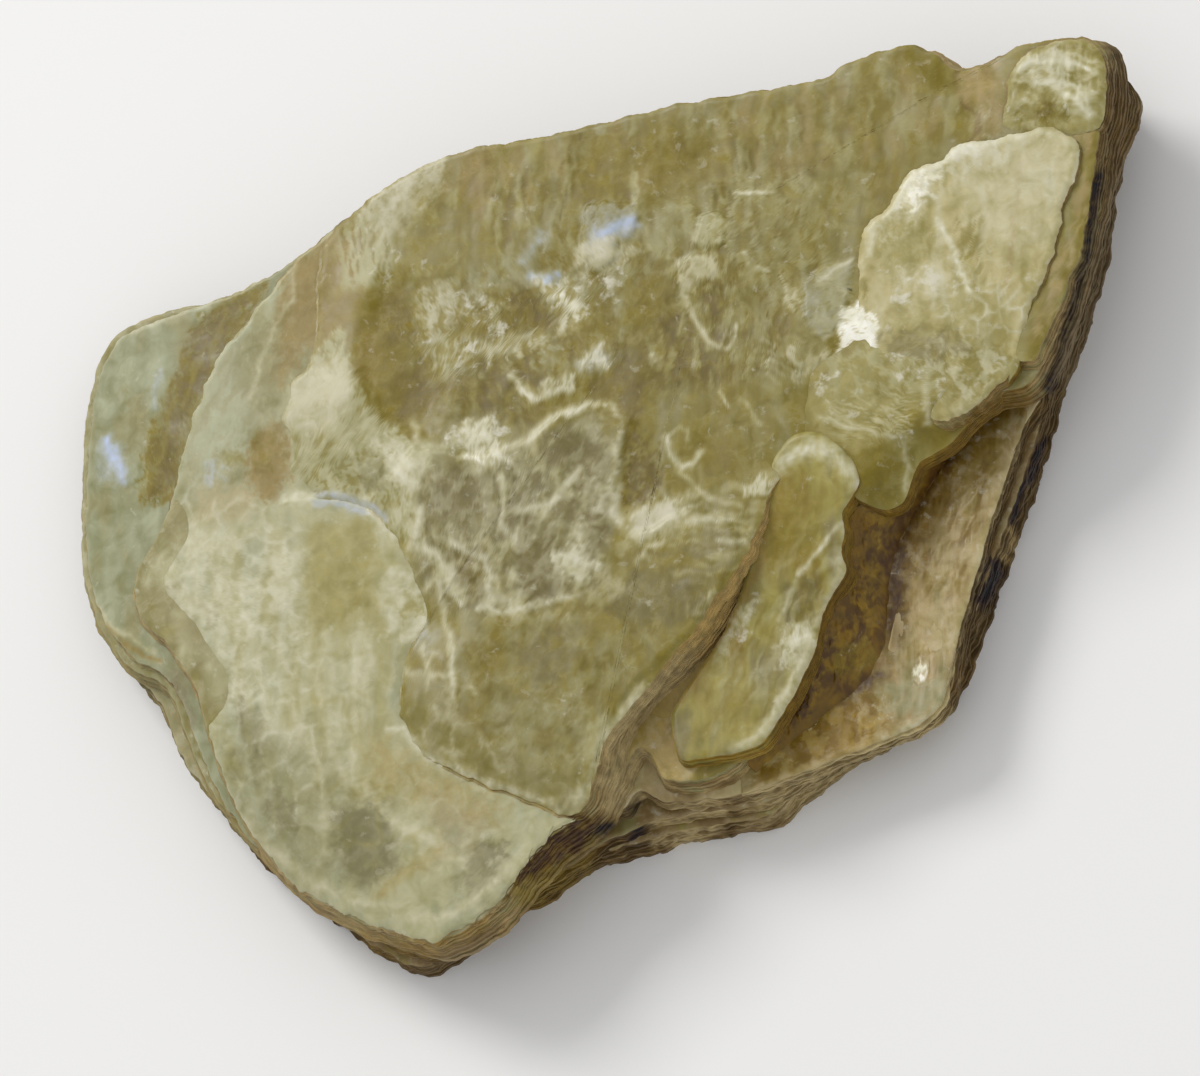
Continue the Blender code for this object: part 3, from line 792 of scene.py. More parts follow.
def bandLeaf(name, leaf):
    # a leaf that shows along one side only: straight lines from its rim to a hidden line inside
    gx, gy = bandGrid(leaf["outer"], leaf["inner"], leaf["along"], leaf["across"], leaf["jag"],
                      leaf.get("packed", (0.08, 0.18, 0.32, 0.5)), leaf["seed"])
    return gridLeaf(name, leaf, gx, gy, topPaint(leaf), wallPaint(leaf))


def makePiece(name, spots, quads, topCount, caps, first, walls, topColour, topAmounts, paintWall):
    # the mesh itself, its paint and its place among the frame's bodies
    x, y, z = spots
    shift = block["planShift"]
    points = np.stack([x + shift[0], y + shift[1], np.maximum(curled(x, y, z), 0)], 1) * block["mm"]
    mesh = bpy.data.meshes.new(name)
    mesh.vertices.add(len(points))
    mesh.vertices.foreach_set("co", points.ravel())
    corners = np.concatenate([quads.ravel()] + caps).astype(np.int32)
    mesh.loops.add(len(corners))
    mesh.loops.foreach_set("vertex_index", corners)
    total = len(quads) + len(caps)
    mesh.polygons.add(total)
    capStarts = len(quads) * 4 + np.cumsum([0] + [len(c) for c in caps[:-1]])
    mesh.polygons.foreach_set("loop_start", np.concatenate([np.arange(len(quads)) * 4, capStarts]).astype(np.int32))
    mesh.polygons.foreach_set("use_smooth", np.arange(total) < topCount)
    mesh.polygons.foreach_set("material_index", (np.arange(total) >= topCount).astype(np.int32))
    mesh.update(calc_edges=True)
    paint = np.ones((len(points), 4))
    amounts = np.zeros((len(points), 3))
    paint[:first, :3], amounts[:first] = topColour, topAmounts
    wallSpots = (np.concatenate([w[q] for w in walls]) for q in range(4))
    paint[first:, :3] = paintWall(*wallSpots)
    paint[:, :3] = np.maximum(toLinear(paint[:, :3]) * paintGain[0] - paintGain[1], 0.002)
    mesh.attributes.new("paint", "FLOAT_COLOR", "POINT").data.foreach_set("color", paint.ravel())
    for k, amount in enumerate(("flake", "crack", "cloud")):
        mesh.attributes.new(amount, "FLOAT", "POINT").data.foreach_set("value", amounts[:, k])
    piece = bpy.data.objects.new(name, mesh)
    bpy.context.scene.collection.objects.link(piece)
    mesh.materials.append(micaFace)
    mesh.materials.append(micaWall)
    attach(piece, "root")
    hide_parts("mica_crystal")
    print(f"{name}: {len(points)} points, {len(quads) * 2 + sum(len(c) for c in caps)} triangles")
    return piece


baseLeaf = {
    "foot": 0.0, "top": 3.0, "around": 900, "jag": 0.16, "seed": 3, "lamina": 0.34, "step": 0.22,
    "lean": 0.3, "wall": "dark", "relief": softRelief(0.06, 3), "tones": ("umber", "clay", "olive"),
    "outline": path(44, 34.8, 44.6, 31.6, 43.9, 26.5, 43, 21.5, 41.7, 16.5, 40.2, 12, 38, 6, 36.8, 2,
        34.8, -3.5, 32.6, -9, 31, -13, 29.4, -17, 27.8, -19, 25.2, -20.3, 21.2, -21.8, 18, -23.8, 15,
        -25.8, 13, -27, 9, -27.4, 5, -27.7, 2.5, -28.3, -2.5, -29, -5.3, -30.4, -8, -31.9, -11, -32.7,
        -12.6, -33.4, -14, -35.2, -16, -36.6, -18, -37.2, -20.5, -36, -23.5, -33.8, -28, -30, -32, -26,
        -36, -20.5, -39, -16, -41, -12.5, -43.5, -8, -45, -3, -46, 3, -46, 9, -45.5, 14, -44, 18.5, -41,
        21, -36, 22.5, -31, 24, -27, 26, -23, 28.5, -18, 30.3, -10, 31.8, -2, 32.8, 8, 34.2, 20, 34.8, 27,
        36.5, 31, 36, 34, 34.2, 39, 35.5, 43, 36),
}
slab("baseLeaf", baseLeaf)

lowerLeaf = {
    "foot": 2.7, "top": 4.4, "around": 900, "jag": 0.16, "seed": 5, "lamina": 0.28, "step": 0.2,
    "wall": "dark", "relief": softRelief(0.06, 5), "tones": ("umber", "clay", "greyOlive"),
    "outline": path(45.2, 34.2, 45.8, 31.2, 44.8, 27.2, 43.6, 22, 41.6, 15.5, 40, 11, 38.2, 5.5, 36.4, 0,
        34.5, -5, 32.6, -10, 31, -14, 29.8, -18, 28.4, -20.2, 25.6, -21.2, 21.2, -22.4, 17, -24.6, 13,
        -26.4, 8, -26.7, 4, -27, 0.5, -28, -1.5, -28.9, -5, -30.8, -7.8, -31.8, -10.4, -32.8, -12.8,
        -34.8, -15, -36.8, -18, -36.4, -21, -34.8, -24.5, -32.4, -29, -29.2, -33, -25.4, -36.8, -20,
        -39.8, -15.5, -41.5, -12, -44, -8, -46, -3, -47, 3, -47, 10, -46.3, 16, -44.6, 20, -41, 22, -36,
        23, -31, 24.4, -27, 26.5, -23, 29, -18, 30.8, -10, 32.4, -2, 33.4, 8, 34.6, 20, 35.3, 27, 37, 31,
        36.4, 34, 34.5, 39, 36, 43.5, 36.2),
}
slab("lowerLeaf", lowerLeaf)

terraceLeaf = {
    "foot": 4.1, "top": 6.3, "around": 900, "jag": 0.16, "seed": 7, "lamina": 0.28, "step": 0.2,
    "wall": "dark", "relief": softRelief(0.06, 7), "tones": ("clay", "sand", "warmCream"),
    "marks": [
        patch("greyGreen", 0.9, 1.5, -30, -34, -54, -24, -54, 30, -20, 36, -24, 20, -38, -4),
    ],
    "outline": path(45.6, 34, 46.4, 31.4, 45.6, 27.8, 44, 23, 42.2, 17, 40.4, 11, 38.6, 6.6, 37.2, 4.2,
        34.8, -2.2, 33.4, -6.6, 32, -11, 31, -14.8, 30.1, -18.6, 28.7, -20.8, 25.8, -22.2, 21, -23.6, 17,
        -24.8, 13, -26, 8, -26.2, 5, -26, 3, -25, 1.4, -26.4, -0.6, -26.6, -1.8, -28.2, -3.4, -29.4, -6,
        -31.2, -9, -33.4, -11.6, -35.4, -14, -37, -17.5, -36.4, -21, -34.6, -25, -32, -29.5, -28.6, -33.4,
        -24.8, -37, -20, -39.6, -16, -41, -12, -44, -8.4, -47, -4, -48.8, 2, -49, 9, -48.6, 16.6, -47,
        21.8, -43.4, 23.8, -36.4, 24.2, -31, 24.4, -27, 26.2, -23, 29.4, -18, 31, -10, 32.6, -2, 33.6, 8,
        35, 20, 35.6, 27, 37.4, 31, 36.6, 34, 34.6, 39, 36.2, 43.5, 36.4),
}
slab("terraceLeaf", terraceLeaf)

middleLeaf = {
    "foot": 6.0, "top": 8.5, "around": 900, "jag": 0.16, "seed": 9, "lamina": 0.4, "lean": 0.6, "step": 0.08,
    "wall": "pale", "relief": softRelief(0.06, 9), "tones": ("amber", "olive", "sand"),
    "marks": [
        patch("greyGreen", 0.9, 1.5, -30, -34, -54, -24, -54, 30, -20, 36, -24, 20, -38, -4),
        patch("seamBrown", 0.7, 1, -2, -33, 1, -22, 10, -12, 16, -14, 13, -22, 2, -32),
    ],
    "outline": path(46.6, 34, 47.4, 31.6, 46, 27.4, 44.2, 22, 42.2, 15, 40.6, 10, 38.2, 7.4, 34.4, 6.6,
        30.6, 4.6, 27, 1, 23.6, -2.4, 21.6, -7, 19.6, -11, 17.4, -15, 15.4, -18.6, 13.6, -21.8, 12, -24,
        9, -25.2, 6, -24.8, 4.6, -22.4, 3.2, -22, 1.6, -25, 0.4, -27.2, -1.6, -28.8, -4, -30.4, -6.4,
        -32.8, -8.4, -35.2, -11.4, -37, -14.6, -37.4, -18, -36, -22, -33.8, -26, -31.2, -30, -28, -33.6,
        -24, -36.2, -20, -38, -15.5, -39.5, -11.5, -43.6, -8.6, -46.8, -4, -48.6, 2, -48.8, 10, -48.2,
        17.6, -45.8, 22.4, -40.4, 23.6, -34, 23.8, -29, 25, -25, 27.2, -19, 30.6, -10, 32.4, -2, 33.4, 8,
        34.8, 20, 35.4, 27, 37.2, 31, 36.6, 34, 34.8, 39, 36.4, 44, 36.4),
}
slab("middleLeaf", middleLeaf)

upperLeaf = {
    "foot": 8.3, "top": 10.85, "around": 900, "jag": 0.14, "seed": 11, "lamina": 0.4, "lean": 0.8, "step": 0.07,
    "wall": "pale", "relief": softRelief(0.03, 11), "tones": ("olive", "greyOlive", "paleGreen"),
    "outline": path(46.8, 33.4, 46.6, 30, 45.6, 26.8, 44.8, 21.6, 43, 15, 41.4, 10.6, 39, 6.2, 36, 5.6,
        32.4, 5, 28, 5.4, 24, 5.6, 20.4, 5.6, 18, 3.4, 16.6, -0.6, 15, -4, 13.8, -7.4, 11.4, -11, 8, -15,
        5, -17.4, 2.6, -20.4, 1.4, -24, 0.4, -26.8, -1.2, -28.4, -3.8, -30.1, -6, -32.6, -8, -35.2, -11,
        -37, -14, -37.6, -17, -36.6, -22, -34.2, -28, -30, -32, -24.6, -34.4, -18.6, -35.8, -13, -38.4,
        -8.6, -41.6, -5, -42, -1.4, -39.6, 2.2, -38, 6, -37, 10, -35.6, 14, -33.8, 17.6, -31.2, 20.4, -29,
        22.6, -26.8, 25.4, -23.6, 27.8, -18.6, 31, -13.6, 33.1, -8, 33.8, -2.4, 34.1, 5, 35, 10, 35.5, 20,
        36, 24.6, 37.4, 28.4, 38, 31, 37.2, 33.4, 35.2, 36.2, 35.6, 39.2, 36.8, 44, 36.8, 46.2, 35.8),
}
slab("upperLeaf", upperLeaf)

cornerLeaf = {
    "foot": 8.2, "top": 9.5, "along": 420, "across": 90, "jag": 0.2, "seed": 13, "lamina": 0.24,
    "wall": "pale", "relief": softRelief(0.10, 13), "tones": ("greyOlive", "coolGreen", "coolPale"), "bands": 0.25, "flake": 0.14, "crack": 0.1,
    "outer": path(-24, 28.2, -26.8, 26.6, -30.8, 24.6, -35, 23.4, -39.6, 22.8, -44.8, 21.8, -47.2, 17.8,
        -48, 11, -48, 3, -46.4, -3, -43, -8, -39, -11, -37.2, -15, -35.6, -19.6, -33.4, -23.8, -30, -28,
        -26, -31.4),
    "inner": path(-21, 24, -24, 21, -26, 19, -28.5, 17, -31, 15, -33, 12, -34, 8, -35, 3, -36, -2, -35.5,
        -6, -34.4, -9, -33, -12, -31.6, -15.5, -30, -18.6, -28.4, -21.4, -26.4, -24.4, -23.4, -27.4),
    "marks": [
        patch("greyOlive", 0.7, 0.8, -42.4, 8.4, -42, 14.6, -40.4, 14.4, -40.2, 8.6),
        # the dark olive band below the sheet's step
        patch("troughOlive", 1, 0.5, -40.4, 3.9, -40.4, 8, -39.8, 11, -38.6, 13, -38.2, 14.8, -35.6, 20.4,
            -33.4, 22.4, -31, 23.4, -29, 23, -31.6, 17.6, -33.4, 16, -35.8, 11.6, -36.6, 8.4, -36.8, 5.4,
            -37.4, 3.8),
        patch("deepOlive", 0.6, 0.8, -37.4, 12, -35.8, 18.6, -33.8, 21.6, -32.4, 19.6, -34.4, 16, -36, 12),
        patch("deepOlive", 0.45, 0.8, -37.6, 11.6, -37.4, 6, -39.4, 5, -39.2, 10),
        patch("deepOlive", 0.5, 0.9, -39.6, 5, -39, 11, -35.4, 20.6, -31.6, 23, -30.6, 20, -34, 16.6, -36,
            12.4, -37.2, 5),
        streak("olive", 0.6, (0.8, 5), -14, 0.3, 0.8, -40, 4, -38, 15, -33, 22, -31, 20, -37, 5),
        stroke("bluish", 0.6, 0.3, -39.5, 12.8, -39, 16.2),
        stroke("skyGlint", 1, 0.5, -43.9, 10.3, -43.3, 8.6),
        stroke("skyGlint", 0.9, 0.45, -43, 9.5, -42.1, 6.4),
        patch("bluish", 0.5, 0.9, -44.4, 10.6, -42.8, 9.8, -42, 6.6, -43.4, 6.4, -44.6, 7.6),
        stroke("orangeBrown", 0.7, 0.26, -45.2, -4.6, -43, -7.4, -41, -9.4, -38.6, -10.6),
        stroke("cream", 0.7, 0.3, -45.6, -3.6, -43.4, -6.4, -41.2, -8.4, -39, -9.6),
        stroke("crackWhite", 0.7, 0.7, -47.6, 8, -46.6, 16, -44, 20, -39, 21.2, -30, 23.8),
        patch("wallGrey", 0.6, 0.9, -38.4, -12, -36.4, -12, -35.4, -17, -36.8, -17.4),
    ],
}
bandLeaf("cornerLeaf", cornerLeaf)

frontLeaf = {
    "foot": 10.2, "top": 11.1, "along": 460, "across": 130, "jag": 0.26, "seed": 15, "lamina": 0.22, "cloud": 0.9, "bands": 0.2,
    "flake": 0.1, "crack": 0.12,
    "wall": "pale", "relief": softRelief(0.10, 15), "tones": ("coolGreen", "paleGreen", "coolPale"),
    "slopes": [(-0.9, 5.0, path(-36, -13, -38.6, -8.6, -41.8, -5, -42.2, -1.4, -40, 2))],
    "outer": path(-22.6, 28.6, -26.8, 25.4, -29, 22.6, -31.2, 20.4, -33.8, 17.6, -35.6, 14, -37, 10, -38,
        6, -39.6, 2.2, -42, -1.4, -41.6, -5, -38.4, -8.6, -35.8, -13, -34.4, -18.6, -32, -24.6, -28, -30,
        -22, -34.2, -17, -36.6, -14, -37.6, -11, -37, -8, -35.2, -6, -32.6, -3.8, -30.1, -1, -28.2),
    "inner": path(-18, 27, -19.5, 24, -20, 21.5, -20.4, 19.4, -20.8, 17.4, -21, 15, -21, 12, -20.8, 9,
        -20, 6, -17, 2.4, -14, -1, -12.6, -4, -12, -7, -12.4, -11, -12.8, -14, -12, -17, -10, -20, -8.4,
        -21.6, -7, -22.6, -5.8, -23.4, -4.6, -24.2, -3.4, -25, -2, -26, -0.4, -27.6),
    "marks": [
        # the sheet behind: grey green, with brown stains towards the block
        patch("greyGreen", 0.8, 1.5, -38, 2, -37, 10, -34, 17, -30, 20, -27, 14, -27, 4),
        patch("greyOlive", 0.7, 1.2, -31.5, 12, -31, 19, -26, 21, -23, 18, -24, 13.5),
        patch("brownOlive", 0.85, 1, -22, 27.5, -22.5, 17.5, -28, 16.5, -27.5, 25),
        streak("brownOlive", 0.6, (0.8, 4), -12, 0.4, 0.6, -23, 26, -23, 18, -28.4, 19, -28, 25),
        stroke("crackWhite", 0.7, 0.3, -36.8, 10, -34, 16.4, -32.4, 18.4, -30.8, 20),
        streak("coolPale", 0.6, (0.9, 4), -24, 0.4, 0.9, -31, 20, -30, 8, -37, 3, -36, 13),
        patch("olive", 0.6, 0.35, -33.6, 6.8, -33.2, 8.5, -31.3, 8.1, -31.2, 6.6),
        patch("bluish", 0.55, 0.5, -34.6, 5, -34.4, 7.2, -33.2, 7.2, -33, 5.2),
        patch("brownOlive", 0.9, 0.55, -30.6, 3.4, -30.4, 8, -28.6, 10.2, -26.8, 9.6, -26.8, 5, -28, 3.2),
        patch("sand", 0.5, 0.9, -36, 1.8, -35, 4.6, -31, 5, -28.8, 3, -31, 1.4),
        patch("paleGreen", 0.8, 1, -23, 14.5, -21, 9, -22, 5, -27.5, 6, -27.5, 13.5),
        patch("brownOlive", 0.8, 0.6, -23.2, 25.6, -26.6, 24.6, -26.6, 20.4, -27.8, 16.2, -28.8, 14, -26.8,
            14, -23.2, 22),
        stroke("cream", 0.6, 0.28, -26.6, 24.3, -26.9, 21.2, -28.7, 18.5, -30.5, 12.8),
        patch("coolPale", 0.8, 0.4, -34, 11.9, -34.2, 7.8, -31.1, 7.5, -30.5, 10.2),
        patch("brownOlive", 0.9, 0.5, -28.5, 2.8, -27.3, 5.5, -26.7, 8.2, -28, 9.6, -30.2, 9.6, -30.8, 7.1,
            -30.4, 4.6),
        patch("troughOlive", 0.5, 0.5, -28, 9, -29.9, 9.2, -30.4, 5.8, -28.6, 5.6),
        stroke("coolPale", 0.8, 0.4, -30.8, 19.1, -32.5, 17.9, -34.4, 15.4, -36.2, 12.2, -37, 6.3, -38.9,
            4),
        # the sheet in front: pale to the left, yellow green beside the ring
        patch("springGreen", 0.95, 1.6, -25, 0, -20, 0.5, -18, -2.5, -19, -10, -21, -12, -25, -10),
        patch("paleGreen", 0.6, 1.4, -26, -8, -18, -9, -17, -22, -24, -24, -27, -16),
        streak("crackWhite", 0.3, (1.6, 7), 2, 0.42, 1.2, -33, 0, -18, 1, -15, -12, -18, -24, -31, -22),
        streak("springGreen", 0.45, (1.8, 9), 2, 0.4, 1.2, -35, 0, -18, 0, -15, -12, -18, -26, -33, -22),
        stroke("white", 0.7, 0.5, -27, 2.9, -22, 2.4, -19.8, 1.3, -18.4, 0, -17.2, -1.6),
        stroke("bluish", 0.8, 0.4, -24.4, 2.2, -22, 1.9, -20, 1),
        patch("cream", 0.7, 0.6, -18.8, -5.6, -16.8, -5.6, -16.2, -8, -18.2, -8.4),
        crust("crackWhite", 0.4, 1.5, 0.4, 1.4, -28, -18, -33, -16, -36, 0, -28, 1.5, -25, -1, -25, -12),
        # left margin, towards the lower sheets
        patch("springGreen", 0.6, 0.7, -39.8, -2, -38.2, -2, -37.8, -9, -39.2, -9),
        patch("smokeOlive", 0.6, 0.6, -38.4, -3.6, -37, -3.6, -36.8, -8, -38, -8),
        patch("smokeOlive", 0.5, 0.5, -34.6, -5.8, -33.4, -5.8, -33.4, -7.8, -34.6, -7.8),
        patch("smokeOlive", 0.5, 0.5, -35.4, -9.2, -36.6, -9.2, -36.6, -6.8, -35.4, -6.8),
        stroke("smokeOlive", 0.6, 0.24, -31, -14.6, -31.1, -17, -30.8, -19.2),
        stroke("orangeBrown", 0.6, 0.24, -35, -10.6, -34.7, -15, -34.1, -19, -33.4, -21.6),
        # the tip
        patch("greyGreen", 0.7, 1.6, -24, -33, -31, -27, -30, -18, -22, -20, -20, -26),
        stroke("crackWhite", 0.6, 0.3, -20.6, -11, -20.5, -16, -20.8, -24),
        patch("orangeBand", 0.75, 1.2, -19.5, -19, -7, -27, -8, -29, -19, -24),
        patch("olive", 0.6, 1.1, -21, -23.5, -17.5, -24.5, -18, -31, -21, -31),
        patch("blotchGreen", 0.8, 1.3, -22, -26, -18, -25.5, -16.5, -29, -18, -33, -21.5, -32),
        patch("blotchGreen", 0.7, 1, -9, -35.5, -11, -34, -11, -31, -8.5, -30.5, -7, -33),
        patch("clay", 0.35, 1.4, -14, -25.5, -8.5, -27.5, -9, -31, -13, -31),
        stroke("cream", 0.8, 0.6, -18.4, -26.2, -15.2, -28.7, -12.4, -30.6, -10.8, -31.4),
        net("cream", 0.45, (3.6, 3.6), 0.4, 1.4, -23, -22, -8, -27, -4, -30, -10, -36, -17, -36, -24, -31),
        stroke("cream", 0.65, 0.5, -20, -9.7, -20.7, -14, -20.9, -18.8, -20.1, -23.8, -17.7, -26.9, -13.8,
            -29.2, -12.8, -30.3),
        stroke("crackWhite", 0.75, 0.45, -17.4, -4.8, -14.9, -5.8, -13.4, -7.5, -14.4, -9.8, -16.3, -11.1),
        patch("springGreen", 0.6, 0.9, -24.4, 0.2, -25.2, -5.6, -23.6, -9.2, -20.4, -8.2, -18.8, -3.4,
            -19.8, 0),
        patch("blotchGreen", 0.85, 0.8, -22.4, -26.4, -22.2, -30.4, -19.6, -32.8, -16.6, -31.8, -17.2,
            -28.8, -19.2, -25.2),
        patch("blotchGreen", 0.85, 0.5, -9.4, -30.4, -9, -32.6, -7, -32.3, -7, -30.2),
        patch("blotchGreen", 0.5, 0.8, -31.6, -15.2, -30.8, -19.6, -28.4, -20, -29, -16),
        patch("crackWhite", 0.5, 1, -39.5, 1.5, -35.5, 2.5, -32.5, -2, -31, -7, -32, -12, -34.5, -14, -35.5,
            -9, -38.5, -6),
        patch("white", 0.45, 0.8, -31.2, -3.6, -31.6, -8.4, -29.6, -8.6, -29.2, -4.2),
        patch("crackWhite", 0.5, 0.8, -28.8, 0.2, -28, -7.2, -25.8, -8.4, -25.6, -2.8),
        stroke("crackWhite", 0.8, 0.35, -17.5, -19.2, -16.3, -19.1, -15.1, -20.9, -12.9, -22.6, -10.9,
            -23.8),
        stroke("orangeBand", 0.7, 0.7, -18.1, -33.6, -15.7, -31.9, -12.8, -30.3),
        stroke("cream", 0.85, 0.6, -34, -20.6, -31.6, -25, -28.6, -28.4, -24, -32.2, -20, -34.2, -15, -36.2,
            -12, -36.4, -7.5, -33.3, -5.6, -31.4),
        net("crackWhite", 0.5, (2.4, 3), 0.35, 1.5, -39, 6, -38.5, -12, -33, -23.5, -27, -30, -22, -24.5,
            -22, -13, -25, -9, -25.5, 1.5),
        net("springGreen", 0.45, (3, 4), 0.5, 1.5, -25.5, 2, -25, -17.5, -23.5, -27.5, -14.5, -34, -11,
            -28.5, -19.5, -21, -18, -12.5, -15, -6, -18, 0.5),
        patch("blotchGreen", 0.6, 0.5, -25.9, -27.5, -25.5, -25.1, -27.4, -23.5, -29.1, -23.8, -28.4,
            -26.8),
        patch("blotchGreen", 0.5, 0.5, -32.4, -18.6, -31.9, -21.6, -28.9, -22.8, -29, -19.9),
        stroke("cream", 0.6, 0.4, -26, -17.3, -23.5, -22.4, -23.2, -29.2),
        stroke("cream", 0.6, 0.4, -23.7, -9.8, -24.1, -13.6, -22.6, -20.6, -21.1, -23.7),
        stroke("coolPale", 0.6, 0.4, -32, -15.7, -30.4, -20.7, -29.9, -23.7, -27.9, -27.8),
        patch("crackWhite", 0.5, 0.5, -17.4, -5.6, -17.8, -9.9, -15.4, -11.7, -12.9, -10, -13.5, -7),
        patch("springGreen", 0.8, 0.4, -16.4, -9.6, -14.4, -9.3, -14.4, -7.4, -16.1, -6.9),
        stroke("cream", 0.5, 0.3, -19, -9.8, -19.5, -14.1, -19.7, -18),
    ],
}
bandLeaf("frontLeaf", frontLeaf)

